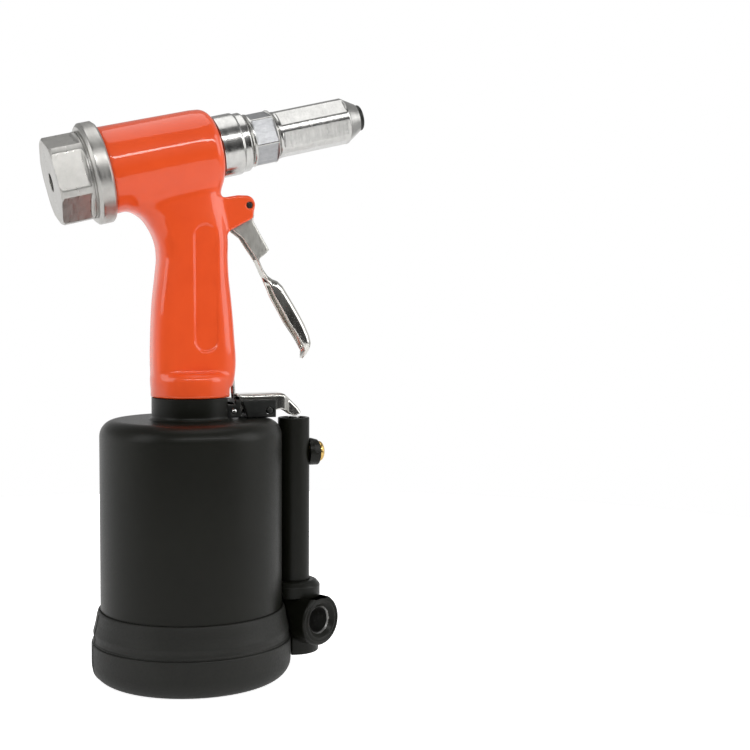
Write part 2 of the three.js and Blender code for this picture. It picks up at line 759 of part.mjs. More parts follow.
// Turned body along the inlet port's own axis, from [reach, radius] points.
function inletTurned(profile, segments = COARSE) {
  const points = profile.map(([reach, r]) => new THREE.Vector2(r, reach));
  const geometry = new THREE.LatheGeometry(points, segments).rotateZ(-Math.PI / 2);
  geometry.rotateZ(THREE.MathUtils.degToRad(INLET.bearing));
  return solid(geometry.translate(VALVE.x, 0, INLET.z));
}

function keepOffBase() {
  const outside = turnedZ([[0, -5], [BOOT.foot - BOOT.edge, -5], ...bootProfile(0.5), [0, BOOT.top + 0.5]]);
  return join(outside, discZ(CYLINDER.radius + 0.4, 30, 60, FINE));
}

function inletBlock() {
  const { radius, low, neckLow, neck, boss, reach, bore, mouth, riser } = INLET;
  const column = turnedZ([
    [0, low],
    [radius - 1.5, low],
    [radius, low + 1.5],
    [radius, neckLow - 0.8],
    [radius - 0.8, neckLow],
    [neck, neckLow],
    [neck, FLANGE.low - GAP],
    [0, FLANGE.low - GAP],
  ], COARSE, VALVE.x);
  const round = 2.5;
  const rim = arc(reach - round, boss - round, round, 90, 0, 3);
  const port = inletTurned([[0, 0], [0, boss], ...rim, [reach, 0]], 24);
  const end = reach + 0.1;
  const socket = inletTurned([[-1, 0], [-1, bore], [reach - 3.5, bore], [end, mouth], [end, 0]]);
  const roof = discZ(FLANGE.radius + GAP, FLANGE.low - GAP, 60, COARSE, VALVE.x);
  return cut(join(column, port), keepOffBase(), socket, discZ(riser, INLET.z, 60, COARSE, VALVE.x), roof);
}

function valveFlange() {
  const { radius, low, top } = FLANGE;
  const profile = [[0, low], [radius, low], [radius, top - 2.4], [radius - 3, top], [0, top]];
  const socket = discZ(VALVE.radius + GAP, VALVE.low - GAP, 60, COARSE, VALVE.x);
  const riser = discZ(INLET.riser, 0, 60, COARSE, VALVE.x);
  return cut(turnedZ(profile, COARSE, VALVE.x), socket, riser, discZ(CYLINDER.radius + 0.4, 20, 60, FINE));
}

function valveTube() {
  const tube = ringZ(VALVE.bore, VALVE.radius, VALVE.low, VALVE.top, COARSE, VALVE.x);
  return cut(tube, alongX(EXHAUST.port, VALVE.x, VALVE.x + 12, EXHAUST.z));
}

// One land of the valve spool with its seal groove, starting at height z.
function spoolLand(z) {
  const { radius, groove, ringLow, ringTop, length } = LAND;
  return [
    [radius, z],
    [radius, z + ringLow],
    [groove, z + ringLow],
    [groove, z + ringTop],
    [radius, z + ringTop],
    [radius, z + length],
    [STEM.radius, z + length],
  ];
}

function addExhaust() {
  const boss = alongX(EXHAUST.radius, VALVE.x + 2, EXHAUST.front, EXHAUST.z);
  const passage = alongX(EXHAUST.bore, VALVE.x, EXHAUST.front + 10, EXHAUST.z);
  const tube = discZ(VALVE.radius + GAP, 90, 125, COARSE, VALVE.x);
  add(gun, 'exhaust_boss', cut(boss, tube, passage), BLACK_PAINT);
  const { rear, rim, domeRear, domeFront } = SILENCER;
  const silencer = turnedZ([
    [0, rear],
    [EXHAUST.bore - GAP, rear],
    [EXHAUST.bore - GAP, EXHAUST.front + GAP],
    [rim, EXHAUST.front + GAP],
    [rim - 0.2, domeRear],
    [rim - 1.5, domeFront - 0.3],
    [0, domeFront],
  ], COARSE);
  const lying = new THREE.Matrix4().makeTranslation(0, 0, EXHAUST.z);
  lying.multiply(new THREE.Matrix4().makeRotationY(Math.PI / 2));
  add(gun, 'exhaust_silencer', solid(surface(silencer).applyMatrix4(lying)), BRASS);
}

function addValve() {
  const { x, bore } = VALVE;
  add(gun, 'valve_tube', valveTube(), BLACK_PAINT);
  add(gun, 'valve_flange', valveFlange(), BLACK_PAINT);
  add(gun, 'inlet_block', inletBlock(), BLACK_PAINT);
  const disc = INLET.bore - GAP;
  const filter = [[FILTER.rear, 0], [FILTER.rear, disc], [FILTER.front, disc], [FILTER.front, 0]];
  add(gun, 'inlet_filter', inletTurned(filter), STEEL);
  addExhaust();
  add(gun, 'valve_guide_bush', ringZ(BUSH.bore, bore - GAP, BUSH.low, BUSH.top, COARSE, x), BRASS);
  const stem = turnedZ([
    [0, STEM.low],
    [STEM.radius, STEM.low],
    [STEM.radius, STEM.lands[0]],
    ...STEM.lands.flatMap(spoolLand),
    [STEM.radius, STEM.headLow],
    [STEM.head, STEM.headLow],
    [STEM.head, STEM.top],
    [0, STEM.top],
  ], COARSE, x);
  add(gun, 'valve_stem', stem, STEEL);
  ['low', 'high'].forEach((level, i) => {
    const [low, top] = [STEM.lands[i] + LAND.ringLow + GAP, STEM.lands[i] + LAND.ringTop - GAP];
    add(gun, `valve_o_ring_${level}`, ringZ(LAND.groove + GAP, bore - 0.2, low, top, COARSE, x), SEAL);
  });
  add(gun, 'valve_seat', ringZ(SEAT.bore, bore - GAP, SEAT.low, SEAT.top, COARSE, x), BRASS);
  const [springLow, springTop] = [SEAT.top + GAP, STEM.lands[0] - 0.4];
  add(gun, 'valve_spring', spring(4.2, 0.6, springLow, springTop, 5).translate(x, 0, 0), STEEL);
}

// ---- pulling head --------------------------------------------------------------------------------
function hexEndCap() {
  const { flats, corner, face, ringRear, ringRadius, bore, spigot } = CAP;
  const blank = hexX(flats / Math.sqrt(3), face, ringRear + 0.2, THREE.MathUtils.degToRad(CAP.turn));
  const turned = turnedX([
    [face, 0],
    [face, corner - 0.8],
    [face + 1, corner],
    [ringRear + 1, corner],
    [ringRear + 1, 0],
  ], FINE);
  const spigotFront = HEAD.rear + spigot;
  const fit = HEAD.bore - GAP;
  const [sealRear, sealFront, groove] = [HEAD.rear + 2.4, HEAD.rear + 5, HEAD.bore - 2.2];
  const shoulder = HEAD.rear - GAP;
  const ring = turnedX([
    [ringRear, 0],
    [ringRear, ringRadius - 1.6],
    [ringRear + 1.6, ringRadius],
    [shoulder - 1, ringRadius],
    [shoulder, ringRadius - 1],
    [shoulder, fit],
    [sealRear, fit],
    [sealRear, groove],
    [sealFront, groove],
    [sealFront, fit],
    [spigotFront, fit],
    [spigotFront, 0],
  ], FINE);
  const relief = ringX(CAP_GROOVE.radius, ringRadius, CAP_GROOVE.rear, CAP_GROOVE.front, FINE);
  return cut(join(blank.intersect(turned), ring), relief, discX(bore, face - 1, spigotFront + 1));
}

function noseSleeve() {
  const { radius, front, step, rear, spigot, bore, seal, sealRear, sealFront } = SLEEVE;
  const socket = 8.8; // pocket for the piston rod's shoulder
  return turnedX([
    [rear, bore],
    [rear, spigot],
    [HEAD.front + GAP, spigot],
    [HEAD.front + GAP, radius],
    [front - step, radius],
    [front - step + 0.7, radius - 0.7],
    [front - 0.7, radius - 0.7],
    [front, radius - 1.4],
    [front, NUT.bore],
    [20, NUT.bore],
    [20, socket],
    [18, socket],
    [18, bore],
    [sealFront, bore],
    [sealFront, seal],
    [sealRear, seal],
    [sealRear, bore],
    [rear, bore],
  ], 24);
}

function lockNut() {
  const { rear, front, corner, bore, turn, chamfer } = NUT;
  const blank = hexX(corner, rear, front, THREE.MathUtils.degToRad(turn));
  const turned = turnedX([
    [rear, 0],
    [rear, corner - chamfer],
    [rear + 2, corner + 0.1],
    [front - 2, corner + 0.1],
    [front, corner - chamfer],
    [front, 0],
  ]);
  return cut(blank.intersect(turned), discX(bore, rear - 1, front + 1));
}

// Round bar with six milled flats that stop short of both ends.
function noseCasing() {
  const { rear, radius, flats, flatRear, flatFront, coneRear, front, turn } = CASING;
  const bar = turnedX([
    [rear, 0],
    [rear, radius - 0.6],
    [rear + 0.6, radius],
    [coneRear - 1, radius],
    [coneRear, radius - 0.8],
    [front, CASING_BORE.tip],
    [front, 0],
  ], 24);
  const middle = hexX(flats / Math.sqrt(3), flatRear, flatFront, THREE.MathUtils.degToRad(turn));
  const ends = join(discX(radius + 2, rear - 1, flatRear), discX(radius + 2, flatFront, front + 1));
  const thread = discX(CASING_BORE.thread, CASING_BORE.rear, rear + 0.1);
  const bore = discX(CASING_BORE.radius, CASING_BORE.rear - 1, CASING_BORE.front);
  const mouth = discX(CASING_BORE.mouth, CASING_BORE.front - 1, front + 2);
  return cut(join(bar.intersect(join(middle, ends)), thread), bore, mouth);
}

function nosepiece() {
  const { radius, front, spigot, spigotRear, nose, noseRear, bore } = TIP;
  const shoulder = CASING.front + GAP;
  return turnedX([
    [noseRear, bore],
    [noseRear, nose - 0.6],
    [noseRear + 1, nose],
    [spigotRear, nose],
    [spigotRear, spigot],
    [shoulder, spigot],
    [shoulder, radius],
    [front - 0.4, radius],
    [front, radius - 0.45],
    [front, bore],
    [noseRear, bore],
  ]);
}

function pullPiston() {
  const { rear, front, groove, grooveRear, grooveFront, rod, rodFront, bore } = PISTON;
  const fit = HEAD.bore - GAP;
  const [stud, studFront] = [JAW_CASE.stud - GAP, JAW_CASE.studFront - 0.4];
  return turnedX([
    [rear, bore],
    [rear, fit],
    [grooveRear, fit],
    [grooveRear, groove],
    [grooveFront, groove],
    [grooveFront, fit],
    [front, fit],
    [front, rod],
    [rodFront, rod],
    [rodFront, stud],
    [studFront, stud],
    [studFront, bore],
    [rear, bore],
  ]);
}

function jawRadius(s) {
  return JAW.seatRadius - JAW.slope * (s - JAW.seat);
}

function jawCase() {
  const { rear, front, radius, stud, studFront } = JAW_CASE;
  return turnedX([
    [rear, stud],
    [rear, radius - 0.5],
    [rear + 0.6, radius],
    [front - 0.8, radius],
    [front, radius - 0.8],
    [front, jawRadius(front)],
    [JAW.seat, JAW.seatRadius],
    [studFront, JAW.seatRadius],
    [studFront, stud],
    [rear, stud],
  ]);
}

// One of the jaws: a wedge out of a ring with a conical outside.
function jaw(index) {
  const { rear, front, bore, gap, count, split } = JAW;
  const ring = turnedX([
    [rear, 3.4],
    [rear, jawRadius(rear) - gap],
    [front, jawRadius(front) - gap],
    [front, bore],
    [rear + 1, bore],
    [rear, 3.4],
  ], 24);
  const half = Math.PI / count;
  const apex = split / Math.sin(half);
  const reach = 20;
  const sector = new THREE.Shape([
    new THREE.Vector2(apex, 0),
    new THREE.Vector2(apex + reach * Math.cos(half), -reach * Math.sin(half)),
    new THREE.Vector2(apex + reach * Math.cos(half), reach * Math.sin(half)),
  ]);
  const prism = new THREE.ExtrudeGeometry(sector, { depth: reach, bevelEnabled: false });
  prism.rotateY(Math.PI / 2).translate(rear - 5, 0, 0).rotateX((2 * Math.PI * index) / count);
  return ring.intersect(solid(prism));
}

// Hollow pin that pushes the jaws forward, with a collar for its spring.
function jawPusher() {
  const [rear, collar, cone, front] = [50, 52, 56.4, 59.2];
  const [tube, shank, flange, point] = [PISTON.bore, 3.6, 5.9, 2];
  return turnedX([
    [rear, tube],
    [rear, shank],
    [collar, shank],
    [collar, flange],
    [cone, flange],
    [front, shank],
    [front, point],
    [cone - 0.4, point],
    [cone - 0.4, tube],
    [rear, tube],
  ]);
}

function addHead() {
  const fit = HEAD.bore - 0.2;
  add(head, 'hex_end_cap', hexEndCap(), CHROME);
  add(head, 'end_cap_o_ring', ringX(HEAD.bore - 1.9, fit, HEAD.rear + 2.7, HEAD.rear + 4.7), SEAL);
  add(head, 'nose_sleeve', noseSleeve(), CHROME);
  const { bore, seal, sealRear, sealFront } = SLEEVE;
  add(head, 'rod_seal', ringX(bore, seal - GAP, sealRear + GAP, sealFront - GAP), SEAL);
  add(head, 'nose_lock_nut', lockNut(), MILLED);
  add(head, 'nose_casing', noseCasing(), MILLED);
  add(head, 'nosepiece', nosepiece(), BLACK_OXIDE);
  add(head, 'pull_piston', pullPiston(), STEEL);
  const { groove, grooveRear, grooveFront } = PISTON;
  add(head, 'pull_piston_seal', ringX(groove + GAP, fit, grooveRear + GAP, grooveFront - GAP), SEAL);
  add(head, 'mandrel_tube', ringX(2, 2.6, -48, 46), CHROME);
  add(head, 'jaw_case', jawCase(), STEEL);
  add(head, 'jaw_pusher', jawPusher(), STEEL);
  for (let i = 0; i < JAW.count; i += 1) {
    add(head, `jaw_${i + 1}`, jaw(i), STEEL);
  }
  const returnRear = HEAD.rear + CAP.spigot + GAP;
  add(head, 'return_spring', spring(11.6, 1.1, returnRear, PISTON.rear - GAP, 5).rotateY(Math.PI / 2), STEEL);
  const pusherRear = JAW_CASE.studFront + GAP;
  add(head, 'pusher_spring', spring(4.8, 0.6, pusherRear, 51.7, 4).rotateY(Math.PI / 2), STEEL);
}

addBase();
addIntensifier();
addHandle();
addTrigger();
addValve();
addHead();

export default gun;
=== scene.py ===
"""Looks of a hand-held pneumatic rivet gun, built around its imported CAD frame.

Lengths are in millimetres until a mesh is made. The head's forms are given as (station, radius).
"""
import json
import math

import bmesh
import bpy
import numpy as np
from mathutils import Matrix, Vector


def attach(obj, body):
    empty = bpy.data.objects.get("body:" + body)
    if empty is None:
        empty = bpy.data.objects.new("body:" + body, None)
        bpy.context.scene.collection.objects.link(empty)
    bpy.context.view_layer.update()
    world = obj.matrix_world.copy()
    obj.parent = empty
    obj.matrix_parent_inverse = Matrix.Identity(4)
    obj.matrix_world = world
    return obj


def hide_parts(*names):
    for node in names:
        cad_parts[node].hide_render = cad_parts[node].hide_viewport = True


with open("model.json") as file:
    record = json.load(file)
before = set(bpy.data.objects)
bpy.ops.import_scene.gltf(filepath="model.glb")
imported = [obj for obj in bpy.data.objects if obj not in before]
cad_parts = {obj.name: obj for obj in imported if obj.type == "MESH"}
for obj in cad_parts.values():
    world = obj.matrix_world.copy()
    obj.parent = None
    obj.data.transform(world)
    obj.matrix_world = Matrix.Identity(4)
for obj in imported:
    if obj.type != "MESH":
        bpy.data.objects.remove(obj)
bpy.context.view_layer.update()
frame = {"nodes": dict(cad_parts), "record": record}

MM = 0.001
TAU = 2 * math.pi
TILT = math.radians(13.75)
HEAD = np.array((0.0, 0.0, 254.5))
ALONG = np.array((math.cos(TILT), 0.0, math.sin(TILT)))  # pulling axis, towards the nose
ABOVE = np.array((-math.sin(TILT), 0.0, math.cos(TILT)))
VALVE_X = 52.3
PORT_Z = 25.8
PORT = np.array((math.cos(math.radians(-64)), math.sin(math.radians(-64)), 0.0))
EXHAUST_Z = 108.0
OIL = (-8.0, 252.5)  # (x, z) of the filling screw
PIVOT = (27.2, 229.9)  # (x, z) of the trigger's pin
LINK = (15.34, 226.5)  # between trigger and pull rod
ROCKER = (37.3, 129.9)
CLEVIS = (19.0, 130.0)


# ---- profiles ------------------------------------------------------------------------------------
def arc(cx, cy, radius, start, end, steps=10):
    """Points of an arc, angles in degrees."""
    angles = np.radians(np.linspace(start, end, steps + 1))
    return [(cx + radius * math.cos(a), cy + radius * math.sin(a)) for a in angles]


def soften(points, cut, closed=False, steps=4, hold=0.5):
    """Rounds each corner of a polyline, from cut away on, with a holding point before and after each bend."""
    count = len(points)
    out = []
    for i, p in enumerate(points):
        if not closed and i in (0, count - 1):
            out.append(tuple(p))
            continue
        p = np.array(p, float)
        before = np.array(points[i - 1], float) - p
        after = np.array(points[(i + 1) % count], float) - p
        lb, la = max(np.hypot(*before), 1e-9), max(np.hypot(*after), 1e-9)
        size = cut[i] if isinstance(cut, (list, tuple)) else cut
        b = before / lb * min(size, lb * 0.3)
        a = after / la * min(size, la * 0.3)
        out.append(tuple(p + b * (1 + hold)))
        for k in range(steps + 1):
            t = k / steps
            out.append(tuple(p + b * (1 - t) ** 2 + a * t * t))
        out.append(tuple(p + a * (1 + hold)))
    return out


# ---- meshes --------------------------------------------------------------------------------------
def upright(points, x=0.0, y=0.0):
    """(station, across, up) of a turned form to a vertical axis."""
    s, a, n = points.T
    return np.stack([n + x, a + y, s], 1)


def in_head(points):
    s, a, n = points.T
    return HEAD + np.outer(s, ALONG) + np.outer(a, (0.0, 1.0, 0.0)) + np.outer(n, ABOVE)


def crosswise(points, x, z):
    """Axis along Y."""
    s, a, n = points.T
    return np.stack([a + x, s, n + z], 1)


def lengthwise(points, z):
    """Axis along X, over the valve."""
    s, a, n = points.T
    return np.stack([s, a, n + z], 1)


def turned(profile, angles=96, closed=False):
    """Turned form as (points, faces). profile is [(station, radius)], or a function of the angle."""
    if isinstance(angles, int):
        angles = np.linspace(0, TAU, angles, endpoint=False)
    columns = [profile(a) if callable(profile) else profile for a in angles]
    rows = len(columns[0])
    points = []
    for a, column in zip(angles, columns):
        for station, radius in column:
            points.append((station, radius * math.sin(a), radius * math.cos(a)))
    faces = []
    for i in range(len(angles)):
        j = (i + 1) % len(angles)
        for k in range(rows if closed else rows - 1):
            m = (k + 1) % rows
            faces.append((i * rows + k, i * rows + m, j * rows + m, j * rows + k))
    return np.array(points), faces


def hex_angles(turn, half, corner):
    """Angles round a hexagon with turned corners, close together where flat and corner meet."""
    land = max(30 - math.degrees(math.acos(min(1, half / corner))), 0.0)
    offsets = {0.0, 30.0}
    for d in (land - 0.6, land, land + 0.6, land + 2.5, land + 6, land + 11):
        offsets.add(min(max(d, 0.3), 29.0))
    if land > 3:
        offsets |= {land * 0.35, land * 0.7}
    ring = sorted({round(s * d, 3) for d in offsets for s in (1, -1)} - {-30.0})
    return [math.radians(turn + 60 * k + d) for k in range(6) for d in ring]


def hex_radius(angle, turn, half, corner):
    off = (math.degrees(angle) - turn + 30) % 60 - 30
    flat = half / math.cos(math.radians(30 - abs(off)))
    k = 0.12
    h = max(k - abs(flat - corner), 0) / k
    return min(flat, corner) - h * h * k / 4


def piece(name, points, faces, material, body, nodes, slot):
    """A shown piece from points in millimetres in the row frame."""
    mesh = bpy.data.meshes.new(name)
    mesh.from_pydata((np.asarray(points) * MM).tolist(), [], [tuple(f) for f in faces])
    bm = bmesh.new()
    bm.from_mesh(mesh)
    bmesh.ops.remove_doubles(bm, verts=bm.verts, dist=2e-6)
    bmesh.ops.dissolve_degenerate(bm, edges=bm.edges, dist=1e-6)
    bmesh.ops.recalc_face_normals(bm, faces=bm.faces)
    for f in bm.faces:
        f.smooth = True
    bm.to_mesh(mesh)
    bm.free()
    for m in material if isinstance(material, (list, tuple)) else [material]:
        mesh.materials.append(m)
    obj = bpy.data.objects.new(name, mesh)
    bpy.context.scene.collection.objects.link(obj)
    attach(obj, body)
    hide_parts(*nodes)
    return obj


def cut_with(obj, cutter_points, cutter_faces):
    """Takes a closed form out of a piece, for good."""
    mesh = bpy.data.meshes.new("cutter")
    mesh.from_pydata((np.asarray(cutter_points) * MM).tolist(), [], [tuple(f) for f in cutter_faces])
    cutter = bpy.data.objects.new("cutter", mesh)
    bpy.context.scene.collection.objects.link(cutter)
    modifier = obj.modifiers.new("cut", "BOOLEAN")
    modifier.operation = "DIFFERENCE"
    modifier.solver = "EXACT"
    modifier.object = cutter
    bpy.context.view_layer.update()
    result = bpy.data.meshes.new_from_object(obj.evaluated_get(bpy.context.evaluated_depsgraph_get()))
    obj.modifiers.clear()
    obj.data = result
    bpy.data.objects.remove(cutter)
    for f in result.polygons:
        f.use_smooth = True
    result.set_sharp_from_angle(angle=math.radians(32))


def block(x0, x1, y0, y1, z0, z1):
    points = [(x, y, z) for x in (x0, x1) for y in (y0, y1) for z in (z0, z1)]
    faces = [(0, 1, 3, 2), (4, 6, 7, 5), (0, 4, 5, 1), (2, 3, 7, 6), (0, 2, 6, 4), (1, 5, 7, 3)]
    return points, faces


# ---- distance fields: negative inside, in millimetres --------------------------------------------
def merge(a, b, k=0.0):
    if k == 0:
        return np.minimum(a, b)
    h = np.maximum(k - np.abs(a - b), 0) / k
    return np.minimum(a, b) - h * h * k / 4


def carve(a, b, k=0.0):
    return -merge(-a, b, k)


def meet(a, b, k=0.0):
    return -merge(-a, -b, k)


def polyline_distance(a, b, points, closed=True):
    near = np.full(a.shape, 1e18)
    count = len(points)
    for i in range(count if closed else count - 1):
        (ax, ay), (bx, by) = points[i], points[(i + 1) % count]
        ex, ey = bx - ax, by - ay
        wx, wy = a - ax, b - ay
        t = np.clip((wx * ex + wy * ey) / (ex * ex + ey * ey + 1e-12), 0, 1)
        near = np.minimum(near, (wx - ex * t) ** 2 + (wy - ey * t) ** 2)
    return np.sqrt(near)


def outline_distance(a, b, points):
    inside = np.zeros(a.shape, bool)
    count = len(points)
    for i in range(count):
        (ax, ay), (bx, by) = points[i], points[(i + 1) % count]
        if ay != by:
            inside ^= ((ay > b) != (by > b)) & (a < (bx - ax) * (b - ay) / (by - ay) + ax)
    return np.where(inside, -1.0, 1.0) * polyline_distance(a, b, points)


def slab(outline, off, soft=0.0):
    """Joins the distance in a plane and the distance off it (abs(off) - half width), with rounded edges."""
    d, w = outline + soft, off + soft
    return np.minimum(np.maximum(d, w), 0) + np.hypot(np.maximum(d, 0), np.maximum(w, 0)) - soft


def rod(p, start, axis, radius, low, high, soft=0.0):
    """Round bar along a unit axis from low to high past start."""
    q = p - np.asarray(start, float)
    s = q @ np.asarray(axis, float)
    r = np.sqrt(np.maximum((q * q).sum(1) - s * s, 0))
    return slab(r - radius, np.abs(s - (low + high) / 2) - (high - low) / 2, soft)


def smooth_curve(t, knots, values):
    """Smooth curve through (knot, value) points."""
    knots, values = np.asarray(knots, float), np.asarray(values, float)
    slope = np.gradient(values, knots)
    i = np.clip(np.searchsorted(knots, t) - 1, 0, len(knots) - 2)
    h = knots[i + 1] - knots[i]
    u = np.clip((t - knots[i]) / h, 0, 1)
    a = (1 + 2 * u) * (1 - u) ** 2 * values[i] + u * (1 - u) ** 2 * h * slope[i]
    return a + u * u * (3 - 2 * u) * values[i + 1] + u * u * (u - 1) * h * slope[i + 1]


def skin(field, low, high, step, relax=3):
    """The surface where a field is zero, as (points, quads), by surface nets and then projection."""
    step = step * 1.0
    axes = [np.arange(a - 1.5 * step, b + 2.5 * step, step) for a, b in zip(low, high)]
    grid = np.stack(np.meshgrid(*axes, indexing="ij"), -1)
    shape = grid.shape[:3]
    value = field(grid.reshape(-1, 3)).reshape(shape)
    inside = value < 0
    nx, ny, nz = (n - 1 for n in shape)
    corner = [(i, j, k) for i in (0, 1) for j in (0, 1) for k in (0, 1)]

    def at(array, c):
        return array[c[0]:c[0] + nx, c[1]:c[1] + ny, c[2]:c[2] + nz]

    count_in = sum(at(inside, c).astype(np.int8) for c in corner)
    mixed = (count_in > 0) & (count_in < 8)
    total = np.zeros((nx, ny, nz, 3))
    hits = np.zeros((nx, ny, nz))
    for a in corner:
        for axis in range(3):
            if a[axis]:
                continue
            b = tuple(1 if d == axis else a[d] for d in range(3))
            crossing = at(inside, a) != at(inside, b)
            va, vb = at(value, a), at(value, b)
            t = np.where(crossing, va / np.where(crossing, va - vb, 1), 0)
            pa, pb = at(grid, a), at(grid, b)
            total += crossing[..., None] * (pa + (pb - pa) * t[..., None])
            hits += crossing
    index = -np.ones((nx, ny, nz), int)
    index[mixed] = np.arange(mixed.sum())
    points = total[mixed] / hits[mixed][:, None]
    quads = []
    for axis in range(3):
        u, w = [d for d in range(3) if d != axis]
        crop = [slice(1, n) for n in (nx, ny, nz)]
        crop[axis] = slice(0, (nx, ny, nz)[axis])
        ahead = list(crop)
        ahead[axis] = slice(1, (nx, ny, nz)[axis] + 1)
        first, second = inside[tuple(crop)], inside[tuple(ahead)]
        where = np.argwhere(first != second)
        for d in (u, w):
            where[:, d] += 1
        ring = []
        for du, dw in ((-1, -1), (0, -1), (0, 0), (-1, 0)):
            cell = where.copy()
            cell[:, u] += du
            cell[:, w] += dw
            ring.append(index[tuple(cell.T)])
        quads.append(np.stack(ring, 1))
    quads = np.concatenate(quads)
    edges = np.concatenate([quads[:, [i, (i + 1) % 4]] for i in range(4)])

    def project(q):
        for _ in range(3):
            d = field(q)
            e = 0.02
            slope = np.stack([field(q + e * np.eye(3)[k]) - d for k in range(3)], 1) / e
            size = np.maximum((slope * slope).sum(1), 0.05)
            move = -slope * (d / size)[:, None]
            length = np.linalg.norm(move, axis=1, keepdims=True)
            q = q + move * np.minimum(1, 0.6 * step / np.maximum(length, 1e-9))
        return q

    points = project(points)
    for _ in range(relax):
        near, degree = np.zeros_like(points), np.zeros(len(points))
        for a, b in ((0, 1), (1, 0)):
            np.add.at(near, edges[:, a], points[edges[:, b]])
            np.add.at(degree, edges[:, a], 1)
        points = project(points + 0.5 * (near / degree[:, None] - points))
    return points, quads


# ---- materials -----------------------------------------------------------------------------------
class Look:
    """A node material around one Principled shader. Constants go straight on its sockets."""

    def __init__(self, name, **sockets):
        self.material = bpy.data.materials.new(name)
        self.material.use_nodes = True
        self.tree = self.material.node_tree
        self.shader = self.tree.nodes["Principled BSDF"]
        for key, value in sockets.items():
            self.shader.inputs[key.replace("_", " ")].default_value = value
        self.place = self.node("ShaderNodeTexCoord").outputs["Object"]

    def node(self, kind, **settings):
        n = self.tree.nodes.new(kind)
        for key, value in settings.items():
            setattr(n, key, value)
        return n

    def link(self, a, b):
        self.tree.links.new(a, b)

    def to(self, output, socket):
        self.link(output, self.shader.inputs[socket])

    def maths(self, operation, a, b=None, c=None):
        n = self.node("ShaderNodeMath", operation=operation)
        for slot, v in zip(n.inputs, (a, b, c)):
            if v is None:
                continue
            if isinstance(v, (int, float)):
                slot.default_value = v
            else:
                self.link(v, slot)
        return n.outputs[0]

    def stretched(self, scale, rotation=(0, 0, 0), source=None):
        n = self.node("ShaderNodeMapping")
        n.inputs["Scale"].default_value = scale
        n.inputs["Rotation"].default_value = rotation
        self.link(source or self.place, n.inputs["Vector"])
        return n.outputs[0]

    def noise(self, scale, detail=3.0, rough=0.55, vector=None):
        n = self.node("ShaderNodeTexNoise")
        n.inputs["Scale"].default_value = scale
        n.inputs["Detail"].default_value = detail
        n.inputs["Roughness"].default_value = rough
        self.link(vector or self.place, n.inputs["Vector"])
        return n.outputs["Fac"]

    def ramp(self, factor, *stops):
        """stops are (position, grey or colour)."""
        n = self.node("ShaderNodeValToRGB")
        while len(n.color_ramp.elements) < len(stops):
            n.color_ramp.elements.new(0.5)
        for e, (position, colour) in zip(n.color_ramp.elements, stops):
            e.position = position
            e.color = (*((colour,) * 3 if isinstance(colour, (int, float)) else colour), 1)
        self.link(factor, n.inputs["Fac"])
        return n.outputs["Color"]

    def bump(self, height, distance, strength=1.0, normal=None):
        n = self.node("ShaderNodeBump")
        n.inputs["Strength"].default_value = strength
        n.inputs["Distance"].default_value = distance
        self.link(height, n.inputs["Height"])
        if normal is not None:
            self.link(normal, n.inputs["Normal"])
        return n.outputs["Normal"]

    def head_place(self):
        """Coordinates along and across the pulling axis."""
        shift = self.node("ShaderNodeVectorMath", operation="SUBTRACT")
        self.link(self.place, shift.inputs[0])
        shift.inputs[1].default_value = tuple(HEAD * MM)
        return self.stretched((1, 1, 1), (0, TILT, 0), shift.outputs[0])

    def radius(self, vector):
        """Distance from the X axis of the given coordinates."""
        parts = self.node("ShaderNodeSeparateXYZ")
        self.link(vector, parts.inputs[0])
        y2 = self.maths("MULTIPLY", parts.outputs["Y"], parts.outputs["Y"])
        z2 = self.maths("MULTIPLY", parts.outputs["Z"], parts.outputs["Z"])
        return self.maths("SQRT", self.maths("ADD", y2, z2)), parts.outputs["X"]


def orange_paint():
    coat = {"Coat_Weight": 0.8, "Coat_Roughness": 0.055}
    look = Look("orange_powder_coat", Roughness=0.42, Specular_IOR_Level=0.22, **coat)
    cloud = look.noise(38, 3)
    look.to(look.ramp(cloud, (0.3, (0.87, 0.082, 0.011)), (0.7, (0.94, 0.100, 0.016))), "Base Color")
    peel = look.noise(420, 2, 0.5)
    grain = look.noise(2600, 2, 0.6)
    normal = look.bump(peel, 0.00006, 0.5)
    normal = look.bump(grain, 0.000012, 0.35, normal)
    look.to(normal, "Normal")
    look.to(look.bump(peel, 0.00006, 0.35), "Coat Normal")
    return look.material


def black_paint():
    look = Look("black_satin_paint", Specular_IOR_Level=0.20, Coat_Weight=0.06, Coat_Roughness=0.25)
    cloud = look.noise(26, 4)
    look.to(look.ramp(cloud, (0.3, (0.0040, 0.0043, 0.0024)), (0.75, (0.0060, 0.0064, 0.0038))), "Base Color")
    grain = look.noise(1500, 3, 0.6)
    look.to(look.ramp(grain, (0.3, 0.34), (0.7, 0.46)), "Roughness")
    normal = look.bump(grain, 0.00002, 0.35)
    look.to(look.bump(look.noise(60, 2), 0.0002, 0.12, normal), "Normal")
    return look.material


def boot_rubber():
    look = Look("moulded_rubber", Specular_IOR_Level=0.34)
    bloom = look.noise(22, 5, 0.6)
    look.to(look.ramp(bloom, (0.3, (0.0058, 0.0060, 0.0044)), (0.8, (0.0105, 0.0108, 0.0082))), "Base Color")
    grain = look.noise(900, 4, 0.65)
    look.to(look.ramp(grain, (0.3, 0.46), (0.75, 0.62)), "Roughness")
    look.to(look.bump(grain, 0.00004, 0.45), "Normal")
    return look.material


def seal_rubber():
    look = Look("nitrile_seal", Specular_IOR_Level=0.4)
    look.to(look.ramp(look.noise(200, 3), (0.3, 0.008), (0.7, 0.016)), "Base Color")
    look.to(look.ramp(look.noise(500, 3), (0.3, 0.4), (0.7, 0.55)), "Roughness")
    return look.material


